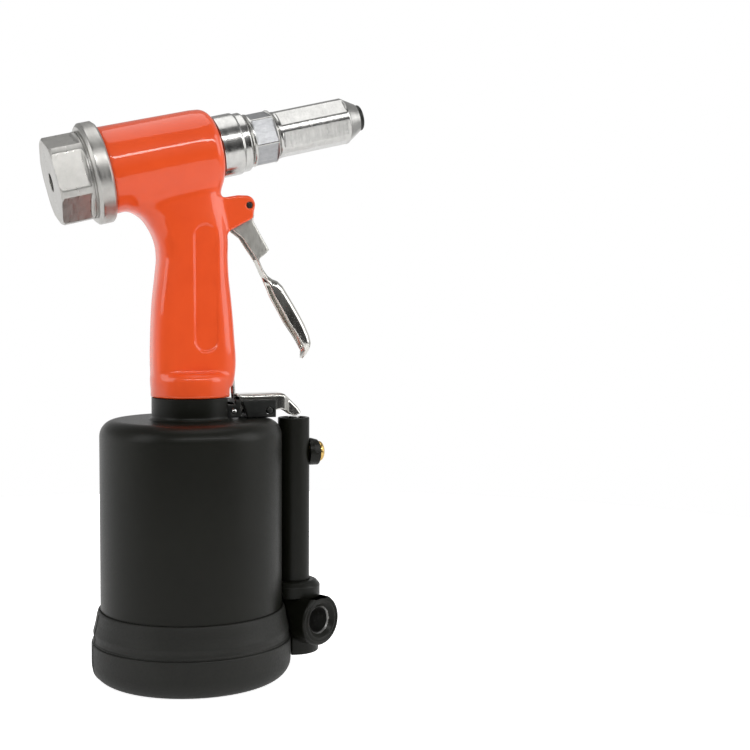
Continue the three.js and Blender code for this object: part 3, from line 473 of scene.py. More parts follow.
def turned_chrome(name, rough, colour, anisotropy):
    """Lathe-finished steel of the head: fine rings round the axis."""
    look = Look(name, Metallic=1.0, Anisotropic=anisotropy)
    vector = look.head_place()
    radius, station = look.radius(vector)
    line = look.node("ShaderNodeCombineXYZ")
    look.link(radius, line.inputs["X"])
    look.link(station, line.inputs["Y"])
    rings = look.noise(5200, 3, 0.7, line.outputs[0])
    wide = look.noise(900, 2, 0.5, line.outputs[0])
    stain = look.noise(240, 5, 0.65)
    look.to(look.ramp(stain, (0.25, tuple(c * 0.80 for c in colour)), (0.7, colour)), "Base Color")
    look.to(look.ramp(wide, (0.3, rough * 0.75), (0.75, rough * 1.3)), "Roughness")
    look.to(look.bump(rings, 0.000002, 0.3), "Normal")
    if anisotropy:
        shift = look.node("ShaderNodeVectorMath", operation="SUBTRACT")
        look.link(look.place, shift.inputs[0])
        shift.inputs[1].default_value = tuple(HEAD * MM)
        around = look.node("ShaderNodeVectorMath", operation="CROSS_PRODUCT")
        around.inputs[0].default_value = tuple(ALONG)
        look.link(shift.outputs[0], around.inputs[1])
        unit = look.node("ShaderNodeVectorMath", operation="NORMALIZE")
        look.link(around.outputs[0], unit.inputs[0])
        look.to(unit.outputs[0], "Tangent")
    return look.material


def milled_steel():
    look = Look("milled_steel", Metallic=1.0)
    vector = look.head_place()
    grain = look.noise(620, 5, 0.7, look.stretched((0.35, 1, 1), (0, 0, 0), vector))
    speckle = look.noise(1900, 3, 0.7)
    mixed = look.maths("ADD", look.maths("MULTIPLY", grain, 0.6), look.maths("MULTIPLY", speckle, 0.4))
    look.to(look.ramp(mixed, (0.3, (0.31, 0.315, 0.325)), (0.7, (0.50, 0.505, 0.515))), "Base Color")
    look.to(look.ramp(mixed, (0.3, 0.46), (0.7, 0.32)), "Roughness")
    look.to(look.bump(mixed, 0.00003, 0.5), "Normal")
    return look.material


def plated_pressing():
    look = Look("plated_pressing", Metallic=1.0)
    drawn = look.noise(300, 4, 0.6, look.stretched((1, 6, 0.25), (0, math.radians(28), 0)))
    stain = look.noise(45, 4)
    look.to(look.ramp(stain, (0.3, (0.57, 0.555, 0.51)), (0.7, (0.74, 0.73, 0.69))), "Base Color")
    look.to(look.ramp(drawn, (0.3, 0.10), (0.75, 0.24)), "Roughness")
    normal = look.bump(drawn, 0.00002, 0.35)
    look.to(look.bump(look.noise(110, 2), 0.0003, 0.25, normal), "Normal")
    return look.material


def brushed_plate():
    """Duller plating on the trigger's cheeks."""
    look = Look("brushed_plate", Metallic=1.0)
    drawn = look.noise(700, 4, 0.7, look.stretched((1, 1, 0.3), (0, math.radians(30), 0)))
    look.to(look.ramp(drawn, (0.25, (0.46, 0.455, 0.42)), (0.75, (0.64, 0.63, 0.59))), "Base Color")
    look.to(look.ramp(drawn, (0.3, 0.36), (0.75, 0.5)), "Roughness")
    look.to(look.bump(drawn, 0.00003, 0.45), "Normal")
    return look.material


def black_oxide():
    look = Look("black_oxide_steel", Metallic=0.6, Specular_IOR_Level=0.5)
    grain = look.noise(700, 4, 0.65)
    cloud = look.noise(60, 3)
    look.to(look.ramp(cloud, (0.3, (0.018, 0.019, 0.018)), (0.75, (0.040, 0.041, 0.037))), "Base Color")
    look.to(look.ramp(grain, (0.3, 0.33), (0.75, 0.5)), "Roughness")
    look.to(look.bump(grain, 0.00003, 0.4), "Normal")
    return look.material


def plain_metal(name, dark, light, rough):
    """Turned or drawn metal of the smaller and the inner pieces."""
    look = Look(name, Metallic=1.0)
    grain = look.noise(520, 4, 0.65, look.stretched((1, 1, 3)))
    look.to(look.ramp(look.noise(90, 3), (0.3, dark), (0.7, light)), "Base Color")
    look.to(look.ramp(grain, (0.3, rough * 0.75), (0.75, rough * 1.25)), "Roughness")
    look.to(look.bump(grain, 0.00002, 0.35), "Normal")
    return look.material


ORANGE = orange_paint()
BLACK = black_paint()
RUBBER = boot_rubber()
SEAL = seal_rubber()
CAP_STEEL = turned_chrome("turned_steel", 0.36, (0.54, 0.53, 0.505), 0.3)
SLEEVE_STEEL = turned_chrome("polished_steel", 0.23, (0.62, 0.615, 0.595), 0.0)
MILLED = milled_steel()
PRESSING = plated_pressing()
BRUSHED = brushed_plate()
OXIDE = black_oxide()
STEEL = plain_metal("bright_steel", (0.42, 0.42, 0.40), (0.60, 0.60, 0.58), 0.26)
CHROME = plain_metal("bright_chrome", (0.70, 0.70, 0.68), (0.82, 0.82, 0.80), 0.10)
ALUMINIUM = plain_metal("turned_aluminium", (0.58, 0.59, 0.60), (0.72, 0.73, 0.74), 0.32)
BRASS = plain_metal("satin_brass", (0.62, 0.40, 0.12), (0.80, 0.57, 0.22), 0.24)
FILTER_STEEL = plain_metal("sintered_steel", (0.17, 0.17, 0.165), (0.30, 0.30, 0.29), 0.40)
COPPER = plain_metal("copper", (0.60, 0.26, 0.14), (0.74, 0.36, 0.20), 0.30)

SLOT_LOOKS = {
    "orange_paint": ORANGE, "black_paint": BLACK, "boot_rubber": RUBBER, "chrome_plate": CHROME,
    "milled_steel": MILLED, "black_oxide": OXIDE, "steel": STEEL, "aluminium": ALUMINIUM,
    "brass": BRASS, "copper": COPPER, "seal_rubber": SEAL,
}


def dress_cad():
    """Every CAD node takes the look of its slot, so that the inner ones are finished too."""
    slots = {row["node"]: row["material_slot"] for row in frame["record"]["subparts"]}
    for name, obj in frame["nodes"].items():
        look = SLOT_LOOKS[slots[name]]
        if not obj.material_slots:
            obj.data.materials.append(look)
        for material_slot in obj.material_slots:
            material_slot.link = "OBJECT"
            material_slot.material = look


# ---- base ----------------------------------------------------------------------------------------
def build_cylinder():
    profile = [(9.4, 41.0), (9.4, 44.0)]
    profile += [(z, r) for r, z in arc(36, 118.3, 8, 0, 90, 16)]
    profile += [(126.3, 21.2)] + [(z, r) for r, z in arc(21.1, 128.3, 2, 270, 180, 8)]
    profile += [(137, 19.1), (137, 12.6), (120.3, 12.6), (120.3, 37), (116.3, 41)]
    sizes = [0.3 if r in (19.1, 12.6) or z == 9.4 else 0.02 for z, r in profile]
    points, faces = turned(soften(profile, sizes, closed=True, steps=3), 160, closed=True)
    obj = piece("cylinder_shell", upright(points), faces, BLACK, "frame", ["air_cylinder"], "black_paint")
    cut_with(obj, *block(15, 24, -12, 12, 126.45, 139))


def boot_wall():
    """(height, radius) up the outside: rounded foot, lower band, fine groove, conical upper band."""
    edge, foot = 8.7, 48.4
    bend = np.radians(np.linspace(-78, 0, 12))
    return [
        (0.0, foot - edge), *[(edge + edge * math.sin(t), foot - edge + edge * math.cos(t)) for t in bend],
        (18.5, foot), (18.95, 48.15), (19.1, 47.6), (19.45, 47.6), (19.6, 48.0), (20.3, 47.5), (21.7, 47.3),
        (24.0, 47.6), (26.5, 46.9), (29.0, 46.3), (31.9, 45.8), (33.8, 45.3), (34.4, 44.9), (34.5, 44.45),
    ]


def build_boot():
    seams = (math.pi, 0.0)
    seam_height, seam_width = 0.34, 0.24
    wall = boot_wall()
    bends = [0.12 if 18 < z < 21 else 0.25 if z > 33 else 0.4 for z, r in wall]
    outer = soften(wall, bends, steps=3)
    inner = [(34.5, 44.35), (5.2, 44.35), (5.2, 0.0)]

    def profile(angle):
        column = [(0.0, 0.0)]
        for z, r in outer:
            if 1.0 < z < 33.5:
                for seam in seams:
                    off = (angle - seam + math.pi) % TAU - math.pi
                    r = r + seam_height * math.exp(-((off * r / seam_width) ** 2))
            column.append((z, r))
        return column + inner

    base = np.linspace(0, TAU, 144, endpoint=False)
    extra = [seam + d for seam in seams for d in np.linspace(-0.022, 0.022, 15)]
    angles = sorted({round(a % TAU, 5) for a in [*base, *extra]})
    points, faces = turned(profile, angles)
    piece("rubber_boot_moulding", upright(points), faces, RUBBER, "frame", ["rubber_boot"], "boot_rubber")


# ---- handle casting ------------------------------------------------------------------------------
# (height, back, front) of the grip's sections
GRIP = [
    (141, -18.8, 19.3), (145, -19.1, 20.4), (150, -19.4, 21.1), (168, -19.3, 20.4), (184, -18.4, 19),
    (196, -17, 17.7), (205, -16.3, 17.3), (212, -17.4, 17.4), (218, -20.2, 16.9), (222.5, -23.6, 16.3),
    (226.5, -29, 15.4), (231, -34, 14.8), (240, -34, 13),
]
GRIP_HALF = 13.2
BARREL = [
    (-43, 0), (-43, 19.8), (-42.2, 20.6), (3.5, 19.9), *arc(6.5, 13.6, 6, 82, 12, 14), (12.5, 13), (12.5, 0),
]
LUG = [
    (10, 233.4), (14, 233.2), (21.6, 234.6), *arc(25.7, 230.2, 4.4, 95, -15, 12), (28.9, 223.6),
    (16, 216.6), (10, 216.6),
]


def rod_x(z):
    return 21.2 - (z - 135.7) * 0.0645


def handle_field(p):
    x, y, z = p.T
    levels = [row[0] for row in GRIP]
    back = smooth_curve(z, levels, [row[1] for row in GRIP])
    front = smooth_curve(z, levels, [row[2] for row in GRIP])
    power = 3.2
    half = (front - back) / 2
    u, w = np.abs(x - (front + back) / 2) / half, np.abs(y) / GRIP_HALF
    f = np.maximum((u ** power + w ** power) ** (1 / power), 0.02)
    slope = np.hypot((u / f) ** (power - 1) / half, (w / f) ** (power - 1) / GRIP_HALF)
    grip = meet((f - 1) / slope, np.abs(z - 190.5) - 49.5, 3)
    collar = slab(np.hypot(x, y) - 19.6, np.abs(z - 143.3) - 6, 0.5)
    collar = meet(collar, np.hypot(np.maximum(np.hypot(x, y) - 15.4, 0), np.maximum(z - 145.1, 0)) - 4.2, 0.4)
    body = merge(grip, collar, 1.5)
    q = p - HEAD
    s = q @ ALONG
    rho = np.sqrt(np.maximum((q * q).sum(1) - s * s, 0))
    mirror = [(a, -b) for a, b in reversed(BARREL) if b > 0]
    barrel = outline_distance(s, rho, BARREL + mirror)
    body = merge(body, barrel, 5)
    lug = slab(outline_distance(x, z, LUG), np.abs(y) - 8.5, 1.0)
    body = merge(body, lug, 2.4)
    boss = rod(p, (OIL[0], 0, OIL[1]), (0, 1, 0), 6, 10, 21, 0.6)
    body = merge(body, boss, 3)
    body = merge(body, slab(np.hypot(x, y) - 12.2, np.abs(z - 131.4) - 6.9, 0.4))
    panel = polyline_distance(x, z, [(4.2, 214.5), (4.6, 165)], closed=False) - 5.5
    body = carve(body, np.maximum(panel, 12.3 - np.abs(y)), 0.8)
    slot = slab(np.maximum(11.5 - x, np.abs(z - 223.5) - 12.5), np.abs(y) - 4.7, 0.3)
    relief = slab(np.maximum(15.2 - x, np.abs(z - 207.5) - 4.5), np.abs(y) - 4.7, 0.3)
    body = carve(body, merge(slot, relief), 0.7)
    groove = slab(np.maximum((rod_x(z) - 1.7) - x, np.abs(z - 174) - 38), np.abs(y) - 1.6, 0.2)
    body = carve(body, groove, 0.6)
    pocket = slab(np.maximum(15 - x, np.abs(z - 138) - 4), np.abs(y) - 9.8, 0.3)
    body = carve(body, pocket, 0.6)
    bore = merge(slab(rho - 15.5, np.abs(s + 20.5) - 24.5), slab(rho - 12, np.abs(s - 10.5) - 8))
    plunger = slab(np.hypot(x, y) - 8.35, np.abs(z - 184) - 60.5)
    seal = slab(np.hypot(x, y) - 10.9, np.abs(z - 128.5) - 2.8)
    body = carve(body, merge(merge(bore, plunger), seal), 0.3)
    pin = np.hypot(x - PIVOT[0], z - PIVOT[1]) - 1.65
    fill = slab(np.hypot(x - OIL[0], z - OIL[1]) - 2.7, np.abs(y - 19) - 11)
    return carve(body, merge(pin, fill), 0.25)


def build_handle():
    points, faces = skin(handle_field, (-47.5, -20.9, 123.6), (30.5, 21.6, 274.5), 0.8, relax=2)
    piece("handle_body", points, faces, ORANGE, "frame", ["handle_casting"], "orange_paint")
    outline = [(16, 0), (16, 2.4), (22.4, 2.4), (22.4, 4.2), (25, 4.2), (25, 1.75), (23.2, 1.75), (23.2, 0)]
    screw = soften(outline, 0.3)

    def with_socket(angle):
        key = 1.55 / math.cos((angle % (TAU / 6)) - TAU / 12)
        return [(s, key if s > 22.6 and 0.4 < r <= 1.76 else r) for s, r in screw]

    points, faces = turned(with_socket, 72)
    piece("oil_screw", crosswise(points, *OIL), faces, STEEL, "frame", ["oil_fill_screw"], "steel")
    ring = soften([(21.3, 2.7), (21.3, 4.6), (22.1, 4.6), (22.1, 2.7)], 0.15, closed=True)
    points, faces = turned(ring, 48, closed=True)
    placed = crosswise(points, *OIL)
    piece("oil_screw_washer", placed, faces, COPPER, "frame", ["oil_fill_washer"], "copper")


# ---- head ----------------------------------------------------------------------------------------
def build_end_cap():
    half, corner, turn = 18.7, 20.7, 8.0

    def profile(angle):
        r = hex_radius(angle, turn, half, corner)
        lip = min(19.7, r - 0.02)
        column = [
            (-68, 4.4), (-68, lip), (-68 + max(r - lip, 0.02), r), (-54.4, r),
            (-53.7, r + (corner - r) * 0.35 + 0.001),
            (-53.3, corner), (-52.9, corner), (-52.9, 19.9), (-52.3, 19.9), (-52.3, corner), (-51.5, corner),
            (-51.5, 22.6), (-50.1, 24), (-44.3, 24), (-43.3, 23), (-43.3, 15.2), (-35, 15.2), (-35, 4.4),
        ]
        edges = [0.35, 0.22, 0.18, 0.6, 0.6, 0.3, 0.12, 0.1, 0.1, 0.12, 0.1]
        cuts = edges + [0.3, 0.35, 0.3, 0.2, 0.3, 0.4, 0.3]
        return soften(column, cuts, closed=True, steps=3)

    points, faces = turned(profile, hex_angles(turn, half, corner), closed=True)
    piece("end_cap", in_head(points), faces, CAP_STEEL, "frame", ["hex_end_cap"], "chrome_plate")


def build_nose():
    sleeve = [
        (5.3, 6.8), (5.3, 11.7), (12.8, 11.7), (12.8, 15), (22.6, 15), (23.6, 14.3), (26.9, 14.3),
        (27.6, 13.6), (27.6, 11), (20, 11), (20, 8.8), (18, 8.8), (18, 6.8), (12.3, 6.8),
        (12.3, 9), (7.7, 9), (7.7, 6.8),
    ]
    points, faces = turned(soften(sleeve, 0.3, closed=True), 96, closed=True)
    piece("nose_ring_sleeve", in_head(points), faces, SLEEVE_STEEL, "frame", ["nose_sleeve"], "chrome_plate")

    turn = -47.0
    nut_half, nut_corner = 11.4, 13.0

    def nut(angle):
        r = hex_radius(angle, turn, nut_half, nut_corner)
        column = [
            (28.4, 11), (28.4, 12.0), (29.3, nut_corner - 0.15), (30.2, nut_corner), (30.7, r), (40.9, r),
            (41.2, nut_corner), (41.5, nut_corner - 0.15), (42.2, 12.0), (42.2, 11),
        ]
        return soften(column, 0.28, closed=True, steps=3)

    points, faces = turned(nut, hex_angles(turn, nut_half, nut_corner), closed=True)
    looks = [MILLED, SLEEVE_STEEL]
    obj = piece("nose_nut", in_head(points), faces, looks, "frame", ["nose_lock_nut"], "milled_steel")
    polish_round(obj, nut_corner - 0.12, 30.6, 41.0)

    flats, half, corner = -20.0, 10.7, 11.5

    def casing(angle):
        r = hex_radius(angle, flats, half, corner)
        column = [
            (20.3, 8.45), (20.3, 10.7), (42.7, 10.7), (42.7, 11.1), (43.3, corner), (44.2, corner), (44.9, r),
            (79.4, r), (80.0, corner - 0.02), (81.2, 10.7), (87.2, 7.2), (87.5, 6.8), (87.5, 4.6), (73, 4.6),
            (73, 8.45),
        ]
        cuts = [0.2, 0.2, 0.1, 0.2, 0.25, 0.3, 0.5, 0.8, 0.6, 1.0, 0.35, 0.2, 0.2, 0.2, 0.2]
        return soften(column, cuts, closed=True, steps=3)

    points, faces = turned(casing, hex_angles(flats, half, corner), closed=True)
    piece("nose_barrel", in_head(points), faces, SLEEVE_STEEL, "frame", ["nose_casing"], "milled_steel")

    tip = [
        (69.4, 1.75), (69.4, 2.6), (70.4, 3.2), (78, 3.2), (78, 4.3), (87.8, 4.3), (87.8, 6.35), (89.2, 6.35),
        (89.6, 5.9), (89.6, 1.75),
    ]
    points, faces = turned(soften(tip, 0.25, closed=True), 64, closed=True)
    piece("nose_tip", in_head(points), faces, OXIDE, "frame", ["nosepiece"], "black_oxide")


def polish_round(obj, radius, low, high):
    """The second material on faces of a head piece that lie outside the milled flats."""
    for f in obj.data.polygons:
        q = np.array(f.center) / MM - HEAD
        s = float(q @ ALONG)
        r = math.sqrt(max(float(q @ q) - s * s, 0))
        if r > radius or not low < s < high:
            f.material_index = 1


# ---- trigger linkage -----------------------------------------------------------------------------
CHEEK = [
    *arc(*PIVOT, 3.9, 105, -20, 14), (30.6, 222.5), (38.6, 208.6), (37.4, 207.3), (33.6, 204.4),
    (33.2, 201.9), (31.1, 205.2), (27.8, 209.9), (25, 214.1), (20.5, 217.3), *arc(*LINK, 2.8, 270, 130, 12),
]
CHEEK_FRONT = [(30.6, 224), (30.6, 222.5), (38.6, 208.6), (37.4, 207.3)]
LEVER_FRONT = [
    (33.6, 204.4), (36.1, 198.9), (38.2, 196.0), (40.5, 194.4), (43.2, 193.4), (45.8, 190.9), (51.5, 181.6),
    (53.9, 177.6), (57.0, 172.2), (59.6, 166.6), (60.6, 162.8), (60.2, 160.2), (59.4, 158.6), (57.8, 156.2),
    (56.6, 154.8),
]
LEVER = [
    *LEVER_FRONT, (56.0, 155.3), (56.9, 158.9), (55.0, 162.7), (52.6, 166.6), (48.4, 172.6), (44.4, 179.7),
    (41.0, 185.5), (38.6, 191.0), (37.0, 193.9), (34.9, 198.0), (33.2, 201.4), (32.2, 203.8),
]
# half width of the finger pad at some heights
PAD_Z = [152, 155, 158, 162, 167, 188, 192, 197, 203]
PAD_HALF = [2.7, 3.1, 4.2, 5.1, 5.4, 5.4, 5.0, 4.4, 4.2]


def channel(p, outline, front, half, sheet, bend):
    """A pressed channel, open at the back. Its web follows the front line and is bent round at both edges."""
    x, y, z = p.T
    flat = outline_distance(x, z, outline)
    depth = polyline_distance(x, z, front, closed=False)
    e = np.where(flat < 0, depth, -depth)
    w = half - np.abs(y)
    corner = np.where((e < bend) & (w < bend), np.hypot(bend - e, bend - w) - bend, -np.minimum(e, w))
    outer = meet(slab(flat, -w, 0.3), corner, 0.2)
    hollow = slab(sheet - depth, np.abs(y) - (half - sheet), np.maximum(bend - sheet, 0.1))
    return carve(outer, hollow, 0.5)


def trigger_field(p):
    x, y, z = p.T
    upper = channel(p, CHEEK, CHEEK_FRONT, 4.2, 1.3, 1.4)
    half = smooth_curve(z, PAD_Z, PAD_HALF)
    lower = channel(p, LEVER, LEVER_FRONT, half, 1.3, np.minimum(3.6, half * 0.72))
    body = merge(upper, lower, 0.8)
    holes = merge(np.hypot(x - PIVOT[0], z - PIVOT[1]) - 1.9, np.hypot(x - LINK[0], z - LINK[1]) - 1.3)
    return carve(body, holes, 0.2)


def build_trigger():
    points, faces = skin(trigger_field, (12.2, -5.7, 154.2), (61.2, 5.7, 234.2), 0.42)
    looks = [PRESSING, BRUSHED]
    obj = piece("trigger_pressing", points, faces, looks, "trigger", ["trigger_lever"], "chrome_plate")
    for f in obj.data.polygons:
        if abs(f.normal.y) > 0.75 and f.center.z > 0.2025:
            f.material_index = 1


def pin(name, x, z, radius, half, look, body, node, slot_name):
    """A riveted pin with domed ends."""
    end = [(half - 0.35, radius), (half, radius * 0.55), (half, 0)]
    outline = [(-s, r) for s, r in reversed(end)] + end
    points, faces = turned(soften(outline, 0.25, steps=3), 40)
    piece(name, crosswise(points, x, z), faces, look, body, [node], slot_name)


def pull_rod_field(p):
    x, y, z = p.T
    axis = np.array((-0.0645, 0, 1)) / math.hypot(0.0645, 1)
    wire = rod(p, (21.2, 0, 135.7), axis, 1.1, 0, 87.5, 0.25)
    eye = slab(np.hypot(x - LINK[0], z - LINK[1]) - 3, np.abs(y) - 1.8, 0.5)
    body = merge(wire, eye, 2.2)
    return carve(body, np.hypot(x - LINK[0], z - LINK[1]) - 1.7, 0.2)


def rod_clevis_field(p):
    x, y, z = p.T
    cheek = [(15.7, 127), (22.5, 127), (22.5, 135.4), (19.8, 135.4), (19.8, 133.4), (15.7, 133.4)]
    sides = slab(outline_distance(x, z, cheek), np.abs(np.abs(y) - 7.75) - 1.45, 0.4)
    bridge = slab(np.maximum(np.abs(x - 21.15) - 1.35, np.abs(z - 134.5) - 0.9), np.abs(y) - 9.2, 0.3)
    body = merge(sides, bridge, 0.5)
    return carve(body, np.hypot(x - CLEVIS[0], z - CLEVIS[1]) - 1.6, 0.2)


ROCKER_TOP = [
    (21.6, 138.1), (33, 138.15), (44.4, 138.2), (46.4, 137.6), (48.4, 136.2), (51.4, 133.1), (53.6, 131.0),
    (55.2, 128.8),
]
ROCKER_SIDE = [
    *ROCKER_TOP, (54.9, 127.9), (52.6, 126.75), (51.2, 126.7), (49.8, 127.3), (47.4, 129.0), (45.6, 129.9),
    (43.8, 130.4), (41.4, 129.8), (39, 128), (37.3, 127.4), (35.6, 128), (33, 130.4), (25, 130.8),
    (22, 127.4), (16.8, 127.4),
    (16.8, 132.6), (20, 132.6), (22.9, 133.1), (22.9, 136.7), (21.6, 136.7),
]


def rocker_field(p):
    x, y, z = p.T
    flat = outline_distance(x, z, ROCKER_SIDE)
    depth = polyline_distance(x, z, ROCKER_TOP, closed=False)
    narrowing = np.clip((x - 45.5) / 3.5, 0, 1)
    half = 5.8 - 2.2 * narrowing ** 2 * (3 - 2 * narrowing)
    e = np.where(flat < 0, depth, -depth)
    w = half - np.abs(y)
    bend = 2.0
    corner = np.where((e < bend) & (w < bend), np.hypot(bend - e, bend - w) - bend, -np.minimum(e, w))
    corner = np.where(x > 23.5, corner, -w)
    outer = meet(slab(flat, -w, 0.3), corner, 0.2)
    body = carve(outer, np.maximum(1.4 - depth, np.abs(y) - (half - 1.4)), 0.4)
    body = carve(body, slab(np.maximum(x - 23.2, 136 - z), np.abs(y) - 2), 0.3)
    fork = slab(np.maximum(x - (CLEVIS[0] + 2.4), np.abs(z - CLEVIS[1]) - 1.65), np.abs(y) - 12)
    holes = merge(fork, np.hypot(x - ROCKER[0], z - ROCKER[1]) - 1.9)
    return carve(body, holes, 0.3)


def bracket_field(p):
    x, y, z = p.T
    cheek = [(26.2, 126.6), (40.6, 126.6), (40.6, 135.2), (23.2, 135.2)]
    sides = slab(outline_distance(x, z, cheek), np.abs(np.abs(y) - 7.35) - 1.05, 0.45)
    bridge = slab(np.maximum(np.abs(x - 28.8) - 2.2, np.abs(z - 127.5) - 0.9), np.abs(y) - 6.8, 0.2)
    body = merge(sides, bridge, 0.6)
    return carve(body, np.hypot(x - ROCKER[0], z - ROCKER[1]) - 1.9, 0.2)


def build_linkage():
    points, faces = skin(pull_rod_field, (11.9, -2, 135.5), (22.6, 2, 229.8), 0.34)
    piece("lift_rod", points, faces, STEEL, "pull_rod", ["pull_rod"], "steel")
    points, faces = skin(rod_clevis_field, (15.4, -9.5, 126.7), (22.8, 9.5, 135.7), 0.3)
    piece("lift_rod_clevis", points, faces, OXIDE, "pull_rod", ["rod_clevis"], "black_oxide")
    points, faces = skin(rocker_field, (16.4, -6, 126.4), (55.6, 6, 138.5), 0.3)
    piece("rocker_pressing", points, faces, PRESSING, "rocker", ["rocker_lever"], "chrome_plate")
    points, faces = skin(bracket_field, (22.9, -8.6, 126.3), (40.9, 8.6, 135.5), 0.33)
    piece("rocker_carrier", points, faces, OXIDE, "frame", ["rocker_bracket"], "black_oxide")
    pin("trigger_pin", *PIVOT, 1.45, 8.55, OXIDE, "frame", "trigger_pivot_pin", "black_oxide")
    pin("link_pin", *LINK, 1.0, 4.1, STEEL, "trigger", "trigger_link_pin", "steel")
    pin("rod_pin", *CLEVIS, 1.3, 9.55, CHROME, "pull_rod", "clevis_pin", "chrome_plate")
    pin("rocker_pin", *ROCKER, 1.6, 8.9, OXIDE, "frame", "rocker_pivot_pin", "black_oxide")


# ---- valve, inlet and exhaust --------------------------------------------------------------------
def from_valve(p):
    q = p - np.array((VALVE_X, 0, 0))
    return np.hypot(q[:, 0], q[:, 1])


def off_base(p):
    """Room kept for the boot and the cylinder, negative inside it."""
    x, y, z = p.T
    r = np.hypot(x, y)
    boot = np.interp(z, [0, 2, 5, 8.7, 18.4, 19.5, 20.3, 24, 26.5, 29, 31.9, 33.8, 34.5, 35.2, 35.21],
                     [42, 46, 48.2, 48.9, 48.9, 48.5, 47.9, 48.1, 47.4, 46.8, 46.3, 45.8, 45.4, 45.2, 44.4])
    return r - boot


def inlet_field(p):
    x, y, z = p.T
    r = from_valve(p)
    column = slab(r - 12.6, np.abs(z - 19.05) - 11.15, 0.7)
    neck = slab(r - 10.6, np.abs(z - 32) - 3.7, 0.2)
    q = p - np.array((VALVE_X, 0, PORT_Z))
    reach = q @ PORT
    ring = np.sqrt(np.maximum((q * q).sum(1) - reach * reach, 0))
    boss = slab(ring - 12.5, np.abs(reach - 10) - 10, 1.6)
    body = merge(merge(column, neck, 0.6), boss, 1.4)
    under_flange = slab(r - 13.7, np.abs(z - 45) - 9.3)
    body = carve(body, under_flange, 0.3)
    body = carve(body, off_base(p), 0.3)
    thread = 0.28 * np.abs(((reach / 1.34) % 1) * 2 - 1) * np.clip((17.6 - reach) / 1.5, 0, 1)
    bore = slab(ring - 6.1 - thread, np.abs(reach - 10.5) - 11.5)
    mouth = np.maximum(ring - (6.4 + (reach - 17.6)), 17.4 - reach)
    recess = np.maximum(np.abs(ring - 10.35) - 0.55, 19.55 - reach)
    riser = slab(r - 3.5, np.abs(z - 42) - 17)
    body = carve(body, merge(merge(bore, mouth), riser), 0.25)
    return carve(body, recess, 0.3)


def flange_field(p):
    x, y, z = p.T
    r = from_valve(p)
    outline = [(0, 36), (13.4, 36), (13.4, 41.2), (11.6, 43.4), (10.4, 44), (0, 44)]
    body = outline_distance(r, z, [(-a, b) for a, b in reversed(outline[1:5])] + outline[1:5])
    body = meet(body, r - 13.4, 0.6)
    body = carve(body, merge(slab(r - 8.2, np.abs(z - 48.8) - 11.1), r - 3.5), 0.3)
    return carve(body, np.hypot(x, y) - 44.4, 0.4)


def exhaust_field(p):
    x, y, z = p.T
    ring = np.hypot(y, z - EXHAUST_Z)
    taper = 6.8 - 0.9 * np.clip((x - 61.5) / 3.3, 0, 1) * (z > EXHAUST_Z)
    body = slab(ring - taper, np.abs(x - 59.55) - 5.25, 0.5)
    return carve(body, merge(from_valve(p) - 8.2, ring - 4.2), 0.3)


def build_valve():
    tube = [(38, 6), (38, 7.9), (125.6, 7.9), (125.6, 6)]
    points, faces = turned(soften(tube, 0.55, closed=True), 72, closed=True)
    piece("valve_tube_shell", upright(points, VALVE_X), faces, BLACK, "frame", ["valve_tube"], "black_paint")
    points, faces = skin(flange_field, (38.6, -13.7, 35.7), (66, 13.7, 44.3), 0.4)
    piece("valve_foot_ring", points, faces, BLACK, "frame", ["valve_flange"], "black_paint")
    points, faces = skin(inlet_field, (38.4, -23.9, 7.5), (72.8, 13, 36.2), 0.45)
    obj = piece("inlet_body", points, faces, [BLACK, FILTER_STEEL], "frame", ["inlet_block"], "black_paint")
    for f in obj.data.polygons:
        q = np.array(f.center) / MM - np.array((VALVE_X, 0, PORT_Z))
        reach = float(q @ PORT)
        if 1 < reach < 18.6 and float(q @ q) - reach * reach < 6.9 ** 2:
            f.material_index = 1
    mesh_disc = soften([(2, 0), (2, 6), (3.6, 6), (3.2, 4.6), (3.9, 2.5), (3.4, 0)], 0.25)
    points, faces = turned(mesh_disc, 64)
    s, a, n = points.T
    side = np.array((-PORT[1], PORT[0], 0))
    world = np.array((VALVE_X, 0, PORT_Z)) + np.outer(s, PORT) + np.outer(a, side) + np.outer(n, (0, 0, 1))
    piece("inlet_strainer", world, faces, FILTER_STEEL, "frame", ["inlet_filter"], "steel")
    points, faces = skin(exhaust_field, (59.5, -7, 101), (65, 7, 115), 0.33)
    piece("exhaust_port", points, faces, BLACK, "frame", ["exhaust_boss"], "black_paint")
    bend = np.linspace(0, math.pi / 2, 9)
    dome = [(61.4, 0), (61.4, 3.9), (65.1, 3.9), (65.1, 5.1)]
    dome += [(65.7 + 2.2 * math.sin(t), 1.6 + 3.5 * math.cos(t)) for t in bend] + [(67.9, 0)]
    points, faces = turned(soften(dome, 0.15, steps=3), 64)
    piece("exhaust_dome", lengthwise(points, EXHAUST_Z), faces, BRASS, "frame", ["exhaust_silencer"], "brass")
    land = [(5.4, 0), (5.4, 1.9), (4.2, 1.9), (4.2, 4.5), (5.4, 4.5), (5.4, 6), (1.8, 6)]
    stem = [(78, 0), (78, 1.8), (84, 1.8), *[(84 + z, r) for r, z in land], *[(98 + z, r) for r, z in land],
            (123.2, 1.8), (123.2, 3), (126.1, 3), (126.1, 0)]
    points, faces = turned(soften(stem, 0.25, steps=3), 48)
    piece("valve_spool", upright(points, VALVE_X), faces, STEEL, "valve", ["valve_stem"], "steel")


